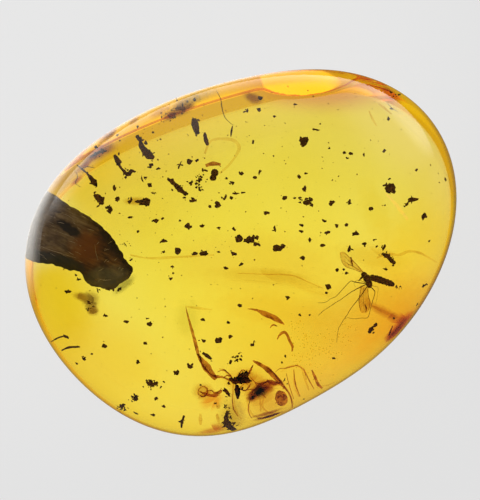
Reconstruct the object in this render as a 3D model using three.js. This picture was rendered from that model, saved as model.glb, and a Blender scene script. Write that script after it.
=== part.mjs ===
// Insect in amber: one polished, egg-shaped piece of clear amber, lying on the small flat
// under its belly. The stone is a single natural body. What is sealed in it adds nothing to
// its outside. Millimetres, +Z up, origin on the resting flat below the stone's middle.

import * as THREE from 'three';
import { mergeVertices } from 'three/addons/utils/BufferGeometryUtils.js';

// Driving dimensions.
const MEAN_RADIUS = 17.925;
const STONE_HEIGHT = 12;

// The outline, seen from above: a round of radius 1 with a few smooth waves round it. The
// second wave makes it an oval, the third gives it a blunt and a narrow end.
const OUTLINE_WAVES = [
  { count: 1, height: 0.016, crest: 87 },
  { count: 2, height: 0.147, crest: 25.3 },
  { count: 3, height: 0.0366, crest: 36 },
  { count: 5, height: 0.0113, crest: 35.8 },
];

// The thick, broad shoulder of the stone faces this way round. The girdle, where the sides
// stand upright, is highest there and low on the thin side.
const SHOULDER_SIDE = 104;
const GIRDLE = { middle: 4, lean: 3.7, pinch: 1 };

// How full each side is: 1 is an ellipse in section, and less is flatter with a tighter rim.
const CROWN_FULLNESS = { middle: 1, lean: 0.1, pinch: 0 };
const BELLY_FULLNESS = { middle: 0.5, lean: 0.3, pinch: 0 };

// The belly would reach this many times the girdle's height below it, and the flat cuts it.
const BELLY_DEPTH = 1.03;

// A small polished window under the shoulder: the way it faces and how deep it is cut.
const WINDOW_SIDE = 97;
const WINDOW_LEAN = 47;
const WINDOW_CUT = 0.27;

const ROUND_STEPS = 80;
const HEIGHT_STEPS = 36;

const toRadians = THREE.MathUtils.degToRad;

function outlineRadius(angle) {
  let reach = 1;
  for (const wave of OUTLINE_WAVES) {
    reach += wave.height * Math.cos(wave.count * (angle - toRadians(wave.crest)));
  }
  return MEAN_RADIUS * reach;
}

// A value that changes round the stone: greatest on the shoulder and least opposite it.
function around(value, angle) {
  const turn = angle - toRadians(SHOULDER_SIDE);
  return value.middle + value.lean * Math.cos(turn) + value.pinch * Math.cos(2 * turn);
}

// How far out, as a share of the outline, and how high a point on the crown lies.
function crownPoint(angle, slope) {
  const girdle = around(GIRDLE, angle);
  const reach = Math.sin(slope) ** around(CROWN_FULLNESS, angle);
  return [reach, girdle + (STONE_HEIGHT - girdle) * Math.cos(slope)];
}

// The same for the belly, which the resting flat cuts off at height 0.
function bellyPoint(angle, slope) {
  const girdle = around(GIRDLE, angle);
  const reach = Math.sin(slope) ** around(BELLY_FULLNESS, angle);
  return [reach, Math.max(0, girdle * (1 + BELLY_DEPTH * Math.cos(slope)))];
}

// Each point of a unit sphere gives a direction round the stone and a slope from its top.
function stonePoint(direction) {
  const angle = Math.atan2(direction.y, direction.x);
  const slope = Math.acos(THREE.MathUtils.clamp(direction.z, -1, 1));
  const side = direction.z >= 0 ? crownPoint : bellyPoint;
  const [reach, height] = side(angle, slope);
  const radius = reach * outlineRadius(angle);
  return new THREE.Vector3(radius * Math.cos(angle), radius * Math.sin(angle), height);
}

// Moves every point that stands outside the window's plane straight onto it.
function cutWindow(points) {
  const facing = new THREE.Vector3(0, 0, -1);
  facing.applyAxisAngle(new THREE.Vector3(0, 1, 0), -toRadians(WINDOW_LEAN));
  facing.applyAxisAngle(new THREE.Vector3(0, 0, 1), toRadians(WINDOW_SIDE));
  const farthest = Math.max(...points.map((point) => point.dot(facing)));
  const plane = farthest - WINDOW_CUT;
  for (const point of points) {
    const excess = point.dot(facing) - plane;
    if (excess > 0) {
      point.addScaledVector(facing, -excess);
    }
  }
}

function stoneGeometry() {
  const sphere = new THREE.SphereGeometry(1, ROUND_STEPS, HEIGHT_STEPS);
  sphere.rotateX(Math.PI / 2);
  sphere.deleteAttribute('normal');
  sphere.deleteAttribute('uv');
  const stone = mergeVertices(sphere, 1e-5);
  const positions = stone.getAttribute('position');
  const points = [];
  for (let i = 0; i < positions.count; i += 1) {
    points.push(stonePoint(new THREE.Vector3().fromBufferAttribute(positions, i)));
  }
  cutWindow(points);
  points.forEach((point, i) => positions.setXYZ(i, ...point));
  return centred(stone);
}

// Puts the middle of the stone's box over the origin.
function centred(stone) {
  stone.computeBoundingBox();
  const middle = stone.boundingBox.getCenter(new THREE.Vector3());
  stone.translate(-middle.x, -middle.y, 0);
  stone.computeVertexNormals();
  return stone;
}

const amber = new THREE.MeshStandardMaterial({
  color: '#e8cf45',
  roughness: 0.05,
  metalness: 0,
});

const stone = new THREE.Mesh(stoneGeometry(), amber);
stone.name = 'amber_stone';

const insectInAmber = new THREE.Group();
insectInAmber.add(stone);

export default insectInAmber;
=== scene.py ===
"""Insect in amber: a polished piece of clear amber with what is sealed in it.

The stone is a smooth version of the frame's faceted solid. A fragment of bark, a gnat, plant
crumbs, healed cracks, flow lines and trains of small bubbles lie inside it.

Everything inside is laid out by where it is seen from straight above, in millimetres from the
stone's middle. A line of sight bends as it enters the amber, so each place is found by following
that line through the crown to the height or depth that is wanted.
"""

import math
import random

import bmesh
import bpy
from bpy.props import FloatProperty, FloatVectorProperty, IntProperty, PointerProperty
from bpy.types import Operator, Panel, PropertyGroup
from mathutils import Matrix, Vector, noise
from mathutils.bvhtree import BVHTree


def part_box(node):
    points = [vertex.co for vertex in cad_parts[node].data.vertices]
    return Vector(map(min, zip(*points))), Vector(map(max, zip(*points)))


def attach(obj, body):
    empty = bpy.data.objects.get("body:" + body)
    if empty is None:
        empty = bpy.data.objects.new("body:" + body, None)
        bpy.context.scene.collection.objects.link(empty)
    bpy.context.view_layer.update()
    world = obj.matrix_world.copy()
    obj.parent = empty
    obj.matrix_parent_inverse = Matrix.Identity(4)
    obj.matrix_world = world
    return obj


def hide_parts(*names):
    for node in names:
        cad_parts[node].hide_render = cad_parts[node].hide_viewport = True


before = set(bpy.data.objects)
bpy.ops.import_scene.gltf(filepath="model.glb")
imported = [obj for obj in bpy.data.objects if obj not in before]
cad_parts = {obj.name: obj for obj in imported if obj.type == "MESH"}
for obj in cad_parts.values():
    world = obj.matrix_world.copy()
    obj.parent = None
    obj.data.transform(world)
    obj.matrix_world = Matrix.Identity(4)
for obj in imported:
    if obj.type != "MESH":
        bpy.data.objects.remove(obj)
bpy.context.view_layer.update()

bl_info = {
    "name": "Insect in Amber",
    "version": (1, 0, 0),
    "blender": (4, 5, 0),
    "location": "3D View > Sidebar > Amber",
    "description": "Builds a polished piece of amber with a gnat, bark and plant crumbs in it",
    "category": "Add Mesh",
}

MM = 0.001
STONE_NODE = "amber_stone"
STONE_NAME = "amber_body"
LOW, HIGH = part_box(STONE_NODE)
STONE_HEIGHT = (HIGH.z - LOW.z) / MM

# The stone's outline from above: a round of radius 1 with a few smooth waves round it, each with
# its count, its height and the side its crest faces, in degrees.
OUTLINE_WAVES = [(1, 0.016, 87), (2, 0.147, 25.3), (3, 0.0366, 36), (5, 0.0113, 35.8)]

# Values that change round the stone: in the middle, how much more on the shoulder, and the pinch.
SHOULDER_SIDE = 104
GIRDLE = (4, 3.7, 1)
CROWN_FULLNESS = (1, 0.1, 0)
BELLY_FULLNESS = (0.5, 0.3, 0)
BELLY_DEPTH = 1.03
MEAN_RADIUS = 17.925
OUTLINE_MIDDLE = (0.006, 0.147)

# The small polished window under the shoulder.
WINDOW_SIDE = 97
WINDOW_LEAN = 47
WINDOW_CUT = 0.27

AMBER_IOR = 1.54

# The way the bark's grain runs, in degrees.
BARK_GRAIN = -24

# The volume's density is this much above its strongest absorption, so that no colour is black.
DENSITY_MARGIN = 1.02

# The height in the stone that the camera's height and the layout are measured at.
EYE_LEVEL = 3


# ---------------------------------------------------------------------------------------------
# Settings
# ---------------------------------------------------------------------------------------------

class StoneSettings(PropertyGroup):
    """The polished stone."""
    segments: IntProperty(
        name="Segments", description="Faces round the stone", default=256, min=32)
    rings: IntProperty(
        name="Rings", description="Rings of faces from crown to belly", default=144, min=24)
    absorbed: FloatVectorProperty(
        name="Absorbed", description="Red, green and blue light absorbed per metre of amber",
        default=(1.5, 9, 200), size=3, min=0)


class BarkSettings(PropertyGroup):
    """The fragment of bark at the narrow end."""
    cell: FloatProperty(
        name="Cell", description="Size of the faces on its surface",
        default=0.085 * MM, subtype="DISTANCE", unit="LENGTH")
    cover: FloatProperty(
        name="Cover", description="Amber over the bark at the stone's edge",
        default=0.1 * MM, subtype="DISTANCE", unit="LENGTH")
    dip: FloatProperty(
        name="Dip", description="How much deeper its inner end lies",
        default=1.3 * MM, subtype="DISTANCE", unit="LENGTH")
    thickness: FloatProperty(
        name="Thickness", description="Thickness at its middle",
        default=1.1 * MM, subtype="DISTANCE", unit="LENGTH")


class GnatSettings(PropertyGroup):
    """The gnat at the blunt end."""
    height: FloatProperty(
        name="Height", description="Height of its body above the resting flat",
        default=6.5 * MM, subtype="DISTANCE", unit="LENGTH")
    leg_width: FloatProperty(
        name="Leg width", description="Width of its shins",
        default=0.052 * MM, subtype="DISTANCE", unit="LENGTH")


class CrumbSettings(PropertyGroup):
    """Plant crumbs and dust."""
    seed: IntProperty(name="Seed", description="Start of the random draws", default=7)
    dust: IntProperty(
        name="Dust", description="Number of dust specks all over the stone", default=420, min=0)


class BubbleSettings(PropertyGroup):
    """Small trapped bubbles."""
    size: FloatProperty(
        name="Size", description="Usual width of a bubble",
        default=0.09 * MM, subtype="DISTANCE", unit="LENGTH")


class StageSettings(PropertyGroup):
    """Camera, floor and light."""
    distance: FloatProperty(
        name="Distance", description="Height of the camera over the stone's middle",
        default=250 * MM, subtype="DISTANCE", unit="LENGTH")
    lens: FloatProperty(
        name="Lens", description="Focal length in millimetres", default=193.5)
    floor_light: FloatProperty(
        name="Floor light", description="Light given off by the pale floor", default=0.762)
    glow: FloatProperty(
        name="Glow", description="Extra light of the floor under the stone", default=0.2)
    horizon: FloatProperty(
        name="Horizon", description="Brightness of the studio's walls", default=0.8)
    ceiling: FloatProperty(
        name="Ceiling", description="Brightness overhead, seen mirrored", default=0.05)
    wall: FloatProperty(
        name="Wall", description="Brightness of the walls, seen mirrored", default=0.12)
    veil: FloatProperty(
        name="Veil", description="Brightness of the low light mirrored in the rim", default=4.35)
    sky: FloatProperty(
        name="Sky", description="Brightness overhead, seen through the stone", default=1)


SETTINGS = {
    "amber_stone": StoneSettings,
    "amber_bark": BarkSettings,
    "amber_gnat": GnatSettings,
    "amber_crumbs": CrumbSettings,
    "amber_bubbles": BubbleSettings,
    "amber_stage": StageSettings,
}


# ---------------------------------------------------------------------------------------------
# Shader maths
# ---------------------------------------------------------------------------------------------

# Next to nothing, as a scale: it flattens a place onto the plane seen from above.
FLATTENED = 0.001
# Features per millimetre of the ragged edges of soft spots.
RAGGED_SCALE = 1.6


class Term:
    """A shader socket that can be used in expressions. Each operation adds its Math node."""

    def __init__(self, graph, socket):
        self.graph = graph
        self.socket = socket

    def math(self, operation, *values):
        return self.graph.node("ShaderNodeMath", {"operation": operation}, dict(enumerate(values)))

    def __add__(self, other):
        return self.math("ADD", self, other)

    def __radd__(self, other):
        return self.math("ADD", other, self)

    def __sub__(self, other):
        return self.math("SUBTRACT", self, other)

    def __rsub__(self, other):
        return self.math("SUBTRACT", other, self)

    def __mul__(self, other):
        return self.math("MULTIPLY", self, other)

    def __rmul__(self, other):
        return self.math("MULTIPLY", other, self)

    def __truediv__(self, other):
        return self.math("DIVIDE", self, other)

    def __rtruediv__(self, other):
        return self.math("DIVIDE", other, self)


class Graph:
    """The nodes of one material or world."""

    def __init__(self, owner):
        owner.use_nodes = True
        self.tree = owner.node_tree
        self.tree.nodes.clear()

    def node(self, kind, settings=None, values=None, output=0):
        """Adds a node: its settings first, then the value or link of each named socket."""
        made = self.tree.nodes.new(kind)
        for name, setting in (settings or {}).items():
            if name == "stops":
                self.set_stops(made.color_ramp, setting)
            else:
                setattr(made, name, setting)
        for name, value in (values or {}).items():
            if isinstance(value, Term):
                self.tree.links.new(value.socket, made.inputs[name])
            else:
                made.inputs[name].default_value = value
        return Term(self, made.outputs[output]) if made.outputs else made

    def set_stops(self, ramp, stops):
        while len(ramp.elements) < len(stops):
            ramp.elements.new(1)
        for element, (place, colour) in zip(ramp.elements, stops):
            element.position = place
            element.color = colour

    def mapped(self, scale, turn=0, centre=(0, 0)):
        """Object coordinates moved to a centre, turned about Z and scaled, in millimetres."""
        return self.node("ShaderNodeMapping", {"vector_type": "TEXTURE"}, {
            "Vector": self.node("ShaderNodeTexCoord", output="Object"),
            "Location": (centre[0] * MM, centre[1] * MM, 0),
            "Rotation": (0, 0, math.radians(turn)),
            "Scale": tuple(MM / part for part in scale),
        })

    def noise(self, scale, detail=4, roughness=0.55, turn=0, distortion=0):
        """Soft random values from 0 to 1. The scale is in features per millimetre."""
        scales = scale if isinstance(scale, tuple) else (scale, scale, scale)
        return self.node("ShaderNodeTexNoise", None, {
            "Vector": self.mapped(scales, turn), "Scale": 1, "Detail": detail,
            "Roughness": roughness, "Distortion": distortion,
        })

    def reach(self, radii, turn=0, centre=(0, 0)):
        """How far a point is from the middle of an oval: 1 on its outline."""
        flat = self.mapped((1 / radii[0], 1 / radii[1], FLATTENED), turn, centre)
        return self.node("ShaderNodeVectorMath", {"operation": "LENGTH"}, {0: flat}, "Value")

    def outward(self):
        """The direction of each point from the stone's upright middle line."""
        flat = self.mapped((1, 1, FLATTENED), 0, OUTLINE_MIDDLE)
        return self.node("ShaderNodeVectorMath", {"operation": "NORMALIZE"}, {0: flat})

    def rim_share(self):
        """How far out a point is, seen from above: 1 on the stone's outline."""
        flat = self.mapped((1, 1, FLATTENED), 0, OUTLINE_MIDDLE)
        x, y = (self.node("ShaderNodeSeparateXYZ", None, {0: flat}, axis) for axis in "XY")
        angle = y.math("ARCTAN2", y, x)
        reach = 1
        for count, height, crest in OUTLINE_WAVES:
            wave = angle * count - count * math.radians(crest)
            reach = wave.math("COSINE", wave) * height + reach
        length = self.node("ShaderNodeVectorMath", {"operation": "LENGTH"}, {0: flat}, "Value")
        return length / (reach * MEAN_RADIUS)

    def spot(self, centre, size, turn=0, soft=0.4, wobble=0.35):
        """1 inside an oval with ragged soft edges and 0 outside it."""
        reach = self.reach((size[0] / 2, size[1] / 2), turn, centre)
        ragged = reach + (self.noise(RAGGED_SCALE, 5) - 0.5) * (2 * wobble)
        return self.ease(ragged, 1 + soft, 1 - soft)

    def patched(self, colour, patches, blend="MIX"):
        """A colour with soft ovals over it, each as for spot and with its own colour."""
        for *oval, tint in patches:
            colour = self.mix(self.spot(*oval), colour, tint, blend)
        return colour

    def ease(self, value, start, end, low=0, high=1):
        """Runs smoothly from low to high as the value goes from start to end."""
        return self.node("ShaderNodeMapRange", {"interpolation_type": "SMOOTHSTEP"}, {
            "Value": value, "From Min": start, "From Max": end, "To Min": low, "To Max": high,
        })

    def facing(self, way, side, rise=0):
        """How nearly a direction faces this side and rise, in degrees: 1 where it does."""
        facing = Matrix.Rotation(math.radians(side), 3, "Z")
        facing = facing @ Matrix.Rotation(-math.radians(rise), 3, "Y") @ Vector((1, 0, 0))
        return self.node(
            "ShaderNodeVectorMath", {"operation": "DOT_PRODUCT"}, {0: way, 1: facing}, "Value")

    def ramp(self, factor, *stops):
        return self.node("ShaderNodeValToRGB", {"stops": stops}, {"Fac": factor})

    def mix(self, factor, first, second, blend="MIX"):
        """Mixes two colours."""
        return self.node("ShaderNodeMix", {"data_type": "RGBA", "blend_type": blend}, {
            0: factor, 6: first, 7: second}, 2)

    def bump(self, height, strength, distance):
        return self.node("ShaderNodeBump", None, {
            "Height": height, "Strength": strength, "Distance": distance * MM})

    def surface(self, values):
        """Ends the material in one Principled surface with these socket values."""
        shader = self.node("ShaderNodeBsdfPrincipled", None, values)
        self.end(Surface=shader)
        return shader

    def end(self, **shaders):
        if not hasattr(self, "last"):
            self.last = self.tree.nodes.new("ShaderNodeOutputMaterial")
        for name, shader in shaders.items():
            self.tree.links.new(shader.socket, self.last.inputs[name])


def new_material(name):
    material = bpy.data.materials.new(name)
    return material, Graph(material)


def rgb(red, green, blue):
    return (red, green, blue, 1)


def grey(value):
    return rgb(value, value, value)


# ---------------------------------------------------------------------------------------------
# Materials
# ---------------------------------------------------------------------------------------------

# Soft ovals of other colours in the amber, in the order in which they lie over each other: the
# middle, size and turn of each, how soft and how ragged its edge is, and its tint. The last list is
# a painted reflection, not a colour of the amber.
WARM_PATCHES = [
    ((10, -12), (24, 18), -20, 0.9, 0.15, rgb(0.95, 0.665, 0.25)),
    ((15.5, -9), (13, 9.5), 40, 0.8, 0.1, rgb(1, 0.49, 0.02)),
    ((-17.5, -4.5), (8, 9), 10, 0.5, 0.15, rgb(0.92, 0.69, 0.08)),
]
DEEPER_PATCHES = [
    ((15.5, -2), (14, 9), 65, 0.5, 0.2, rgb(1, 0.89, 0.5)),
    ((10.8, -5.2), (12, 6), 20, 0.5, 0.2, rgb(0.92, 0.82, 0.75)),
    ((4, -12.5), (9, 6), 15, 0.5, 0.2, rgb(0.95, 0.85, 0.8)),
    ((-8.9, 6.3), (15, 9), 30, 0.5, 0.3, rgb(0.96, 0.91, 0.72)),
    ((-11.5, -8.5), (9, 6), -30, 0.5, 0.2, rgb(0.98, 0.9, 0.72)),
    ((0.5, -0.5), (13, 4.5), 0, 0.5, 0.3, rgb(0.96, 0.91, 0.9)),
    ((6.2, 15.2), (12, 4), -4, 0.5, 0, rgb(0.88, 0.52, 0.95)),
]
# Painted reflection: the tint is taken almost to white by the bark's outer end, standing in for the
# pale sheen that the polish mirrors there.
SHEEN_PATCHES = [((-19, 2.6), (9, 6.8), 0, 0.4, 0, rgb(1, 0.93, 0.85))]

# The sides that the stone's rim tints face, in degrees: the blunt end, the right brink's painted
# shade line and the top left band's painted shade.
BLUNT_SIDE = 28
BRINK_SHADE_SIDE = 5
BAND_SHADE_SIDE = 118


def amber_material(absorbed):
    """Clear amber: plain transmission and absorption, tinted a little deeper in places, with
    painted shade on the rim's band and brink and a painted sheen that pales it by the bark.
    """
    material, graph = new_material("amber")
    share = graph.rim_share()
    outward = graph.outward()
    blunt_end = graph.ease(graph.facing(outward, BLUNT_SIDE), 0.5, 0.85)
    rim = graph.ease(share, 0.5, 1) * (1 - blunt_end * 0.5)
    edge = graph.ease(share, 0.88, 0.985) * (1 - blunt_end * 0.8)
    # Painted shade: a thin dark line along the rim's brink on the right side.
    brink_shade = graph.ease(share, 0.972, 0.988)
    brink_shade = brink_shade * graph.ease(graph.facing(outward, BRINK_SHADE_SIDE), 0.8, 0.9)
    # Painted shade: the band just inside the rim on the top left side is darkened towards blue
    # grey.
    band = graph.ease(share, 0.905, 0.94)
    band = band * graph.ease(graph.facing(outward, BAND_SHADE_SIDE), 0.45, 0.75)
    cloud = graph.ease(graph.noise(0.11, 3, 0.5, distortion=0.6), 0.35, 0.7)
    tint = graph.mix(cloud, rgb(0.985, 0.895, 0.92), rgb(0.965, 0.857, 0.68))
    tint = graph.mix(rim, tint, rgb(1, 0.79, 0.15))
    tint = graph.patched(tint, WARM_PATCHES)
    tint = graph.mix(edge, tint, rgb(1, 0.7, 0.06))
    tint = graph.patched(tint, DEEPER_PATCHES, "MULTIPLY")
    tint = graph.mix(band, tint, rgb(0.6, 0.6, 0.96), "MULTIPLY")
    tint = graph.mix(brink_shade, tint, rgb(0.45, 0.4, 0.7), "MULTIPLY")
    # The painted sheen by the bark's outer end.
    tint = graph.patched(tint, SHEEN_PATCHES)
    graph.surface({
        "Base Color": tint, "Transmission Weight": 1, "IOR": AMBER_IOR, "Roughness": 0,
    })
    density = DENSITY_MARGIN * max(absorbed)
    volume = graph.node("ShaderNodeVolumeAbsorption", None, {
        "Density": density, "Color": rgb(*(1 - part / density for part in absorbed)),
    })
    graph.end(Volume=volume)
    return material


def bark_material():
    """Rotted bark: grey brown outside, blackened in places, red brown where it broke, and painted
    pale grey at its outer end as the sheen that the polish mirrors there.
    """
    material, graph = new_material("bark")
    grain = graph.noise((0.35, 3.2, 1.2), 8, 0.65, BARK_GRAIN, 0.4)
    mottle = graph.noise(0.8, 6, 0.6, BARK_GRAIN, 0.3)
    colour = graph.ramp(
        grain * 0.6 + mottle * 0.4,
        (0.34, rgb(0.02, 0.012, 0.007)), (0.46, rgb(0.08, 0.05, 0.028)),
        (0.56, rgb(0.14, 0.095, 0.055)), (0.68, rgb(0.28, 0.21, 0.14)))
    inner = graph.spot((-11.9, -0.6), (6.4, 7.4), -40, 0.25, 0.2)
    inner_colour = graph.ramp(
        grain * 0.5 + mottle * 0.5,
        (0.36, rgb(0.01, 0.004, 0.002)), (0.5, rgb(0.045, 0.02, 0.007)),
        (0.66, rgb(0.17, 0.085, 0.03)))
    colour = graph.mix(inner, colour, inner_colour)
    ash = graph.mix(mottle, rgb(0.02, 0.016, 0.01), rgb(0.17, 0.15, 0.11))
    for strength, tint, *oval in (
            (0.7, rgb(0.15, 0.05, 0.01), (-14.0, 0.6), (2.6, 3.0), -8, 0.6, 0.7),
            (0.8, ash, (-12.1, -2.1), (4.4, 2.0), 8, 0.4, 0.5),
            (0.85, rgb(0.012, 0.007, 0.004), (-11.5, 1.1), (6, 0.9), -56, 0.5, 0.5),
            (0.95, rgb(0.01, 0.008, 0.01), (-15.6, 2.4), (2.6, 0.9), -32, 0.25, 0.6),
            (0.88, rgb(0.018, 0.02, 0.024), (-17.2, -0.55), (6.6, 1.5), -12, 0.2, 0.3)):
        colour = graph.mix(graph.spot(*oval) * strength, colour, tint)
    # Painted reflection: a pale grey over the bark's outer end by the stone's edge stands in for
    # the sheen mirrored in the polish.
    edge_sheen = graph.ease(graph.reach((16.9, 16.9), 0, (-3, -1)), 0.9, 0.99)
    colour = graph.mix(edge_sheen * 0.8, colour, rgb(0.3, 0.28, 0.25))
    height = grain * 0.7 + graph.noise(9, 4, 0.7, BARK_GRAIN) * 0.3
    graph.surface({
        "Base Color": colour, "Roughness": 0.75, "Specular IOR Level": 0.2,
        "Normal": graph.bump(height, 0.8, 0.15),
    })
    return material


def fibre_material():
    """Pale fibres along the bark's grain."""
    material, graph = new_material("bark_fibre")
    shade = graph.noise(5, 3)
    colour = graph.mix(shade, rgb(0.2, 0.14, 0.09), rgb(0.62, 0.52, 0.38))
    graph.surface({"Base Color": colour, "Roughness": 0.7})
    return material


def crumb_material(name, dark, light):
    """Rotted plant matter, nearly black with browner flecks."""
    material, graph = new_material(name)
    fleck = graph.noise(4.5, 4, 0.6)
    colour = graph.ramp(fleck, (0.35, dark), (0.7, light))
    graph.surface({
        "Base Color": colour, "Roughness": 0.8, "Specular IOR Level": 0.2,
        "Normal": graph.bump(graph.noise(14, 3), 0.6, 0.05),
    })
    return material


# A film bends and mirrors nothing. It only tints what is seen through it.
FILM = {"IOR": 1, "Roughness": 0, "Specular IOR Level": 0}


def film_material(name, deep, pale, clear=0.85, scale=1.3, glow=0):
    """A thin stained film or crack: clear amber seen through a brown tint. A glow above 0 is
    painted light in its pale colour.
    """
    material, graph = new_material(name)
    stain = graph.noise(scale, 5, 0.6, distortion=0.5)
    colour = graph.ramp(stain, (0.36, deep), (0.64, pale))
    graph.surface({
        **FILM, "Base Color": colour, "Transmission Weight": clear,
        "Emission Color": pale, "Emission Strength": glow,
    })
    return material


def stain_and_mirror_mark_material(stains):
    """Clear film with soft brown stains and painted reflections of marks that the rim's polish
    mirrors, each an oval and its tint.
    """
    material, graph = new_material("stain_and_mirror_mark")
    colour = graph.patched(grey(1), stains)
    graph.surface({**FILM, "Base Color": colour, "Transmission Weight": 1})
    return material


def insect_material():
    """The gnat's dark, faintly glossy skin."""
    material, graph = new_material("insect")
    shade = graph.noise(3.5, 5, 0.6)
    colour = graph.ramp(
        shade, (0.35, rgb(0.02, 0.007, 0.005)), (0.58, rgb(0.08, 0.026, 0.014)),
        (0.75, rgb(0.2, 0.075, 0.035)))
    graph.surface({
        "Base Color": colour, "Roughness": 0.45, "Specular IOR Level": 0.3,
        "Normal": graph.bump(graph.noise(18, 3), 0.4, 0.02),
    })
    return material


def bubble_material():
    """Air in amber, which bends light the other way."""
    material, graph = new_material("bubble")
    fog = graph.noise(6, 2)
    colour = graph.mix(fog, rgb(0.9, 0.85, 0.7), rgb(1, 1, 1))
    graph.surface({
        "Base Color": colour, "Transmission Weight": 1, "IOR": 1 / AMBER_IOR, "Roughness": 0,
    })
    return material


# ---------------------------------------------------------------------------------------------
# Modelling helpers
# ---------------------------------------------------------------------------------------------

def add_piece(name, shape, material, slot, smooth=True):
    """Turns a bmesh into a finished piece that rides with the stone.

    What is sealed in the amber isn't mirrored in its walls, which keeps the rim band clear.
    """
    bmesh.ops.recalc_face_normals(shape, faces=shape.faces)
    mesh = bpy.data.meshes.new(name)
    shape.to_mesh(mesh)
    shape.free()
    mesh.polygons.foreach_set("use_smooth", [smooth] * len(mesh.polygons))
    mesh.materials.append(material)
    piece = bpy.data.objects.new(name, mesh)
    bpy.context.scene.collection.objects.link(piece)
    piece.visible_glossy = slot == "amber"
    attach(piece, "root")
    return piece


def merge(shape, part):
    """Adds one bmesh to another and frees it."""
    mesh = bpy.data.meshes.new("part")
    part.to_mesh(mesh)
    part.free()
    shape.from_mesh(mesh)
    bpy.data.meshes.remove(mesh)


def blend(start, end, share):
    return start + (end - start) * share


def ease(start, end, value):
    """0 before start, 1 after end and smooth between."""
    share = min(1, max(0, (value - start) / (end - start)))
    return share * share * (3 - 2 * share)


def spline(points, steps, closed=False):
    """A smooth run of points through the given ones, with this many steps between each pair."""
    count = len(points)
    points = [Vector(point).to_3d() for point in points]
    spans = count if closed else count - 1
    run = []
    for i in range(spans):
        if closed:
            a, b, c, d = (points[(i + k - 1) % count] for k in range(4))
        else:
            a, b, c, d = (points[min(max(i + k - 1, 0), count - 1)] for k in range(4))
        for step in range(steps):
            t = step / steps
            run.append(0.5 * (2 * b + (c - a) * t + (2 * a - 5 * b + 4 * c - d) * t ** 2
                              + (3 * b - a - 3 * c + d) * t ** 3))
    if not closed:
        run.append(points[-1])
    return run


def frames_along(path, widths, flatness):
    """A matrix at each point of a path: across, upwards and along, as wide as told."""
    frames = []
    for i, point in enumerate(path):
        along = (path[min(i + 1, len(path) - 1)] - path[max(i - 1, 0)]).normalized()
        across = along.cross(Vector((0, 0, 1)))
        across = across.normalized() if across.length > 1e-3 else Vector((1, 0, 0))
        upwards = across.cross(along)
        turn = Matrix((across, upwards, along)).transposed().to_4x4()
        size = Matrix.Diagonal((widths[i], widths[i] * flatness, 1, 1))
        frames.append(Matrix.Translation(point) @ turn @ size)
    return frames


def sweep(shape, path, widths, sides=6, flatness=1):
    """Draws a closed tube along a path by extruding its end again and again."""
    frames = frames_along(path, widths, flatness)
    made = bmesh.ops.create_circle(
        shape, cap_ends=True, segments=sides, radius=0.5, matrix=frames[0])
    end = made["verts"][0].link_faces[0]
    for before, after in zip(frames, frames[1:]):
        grown = bmesh.ops.extrude_face_region(shape, geom=[end])["geom"]
        verts = [part for part in grown if isinstance(part, bmesh.types.BMVert)]
        end = next(part for part in grown if isinstance(part, bmesh.types.BMFace))
        bmesh.ops.transform(shape, matrix=after @ before.inverted(), verts=verts)


def spread(values, count):
    """Stretches a short list of values evenly over a longer run."""
    last = len(values) - 1
    run = []
    for i in range(count):
        place = i / (count - 1) * last
        low = min(int(place), last - 1)
        run.append(blend(values[low], values[low + 1], place - low))
    return run


def draw_line(shape, points, steps, widths, follow, sides=6):
    """Draws a tube along a smooth line whose places come from follow. Widths in millimetres."""
    path = [follow(point.x, point.y) for point in spline(points, steps)]
    sweep(shape, path, [width * MM for width in spread(widths, len(path))], sides)


def chip(shape, place, size, turn, draw, points=11):
    """Adds one angular chip: the hull of a few random points in a turned, flattened block."""
    matrix = Matrix.Translation(place) @ Matrix.Rotation(math.radians(turn), 4, "Z")
    matrix = matrix @ Matrix.Diagonal((size[0] / 2, size[1] / 2, size[2] / 2, 1))
    verts = []
    for _ in range(points):
        way = Vector((draw.gauss(0, 1), draw.gauss(0, 1), draw.gauss(0, 1))).normalized()
        verts.append(shape.verts.new(matrix @ (way * draw.uniform(0.95, 1.25))))
    hull = bmesh.ops.convex_hull(shape, input=verts)
    spare = [part for part in hull["geom_interior"] + hull["geom_unused"]
             if isinstance(part, bmesh.types.BMVert)]
    bmesh.ops.delete(shape, geom=list(set(spare)), context="VERTS")


def splinter(shape, path, widths, draw):
    """Adds a ragged splinter along a path, with chips on its sides. Widths in millimetres."""
    rough = [width * MM * draw.uniform(0.75, 1.2) for width in widths]
    sweep(shape, path, rough, 7, 0.6)
    for point, width in zip(path[1:-1], rough[1:-1]):
        side = Vector((draw.gauss(0, 0.35), draw.gauss(0, 0.35), 0)) * width
        size = width * draw.uniform(0.4, 0.9)
        chip(shape, point + side, (size, size * 0.7, size * 0.5), draw.uniform(0, 180), draw, 8)


# A crumb's least thickness, and how much of its length bears each chip that grows from it.
THINNEST_CRUMB = 0.1 * MM
LENGTH_PER_SHOOT = 0.24 * MM


def crumb(shape, place, length, width, turn, draw):
    """Adds one crumb: a chip with smaller chips grown out of its sides. Sizes in metres."""
    thick = max(0.4 * width, THINNEST_CRUMB)
    chip(shape, place, (length, width, thick), turn, draw)
    for _ in range(min(4, int(length / LENGTH_PER_SHOOT))):
        side = math.radians(turn + draw.uniform(0, 360))
        reach = Vector((math.cos(side) * length, math.sin(side) * width, 0)) * 0.32
        reach.z = draw.uniform(-0.3, 0.3) * thick
        share = draw.uniform(0.4, 0.7)
        chip(shape, place + reach, (length * share, width * share, thick * share),
             draw.uniform(0, 180), draw, 7)


# ---------------------------------------------------------------------------------------------
# The stone's shape and the line of sight into it
# ---------------------------------------------------------------------------------------------

def outline_radius(angle):
    reach = 1
    for count, height, crest in OUTLINE_WAVES:
        reach += height * math.cos(count * (angle - math.radians(crest)))
    return MEAN_RADIUS * reach


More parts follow.
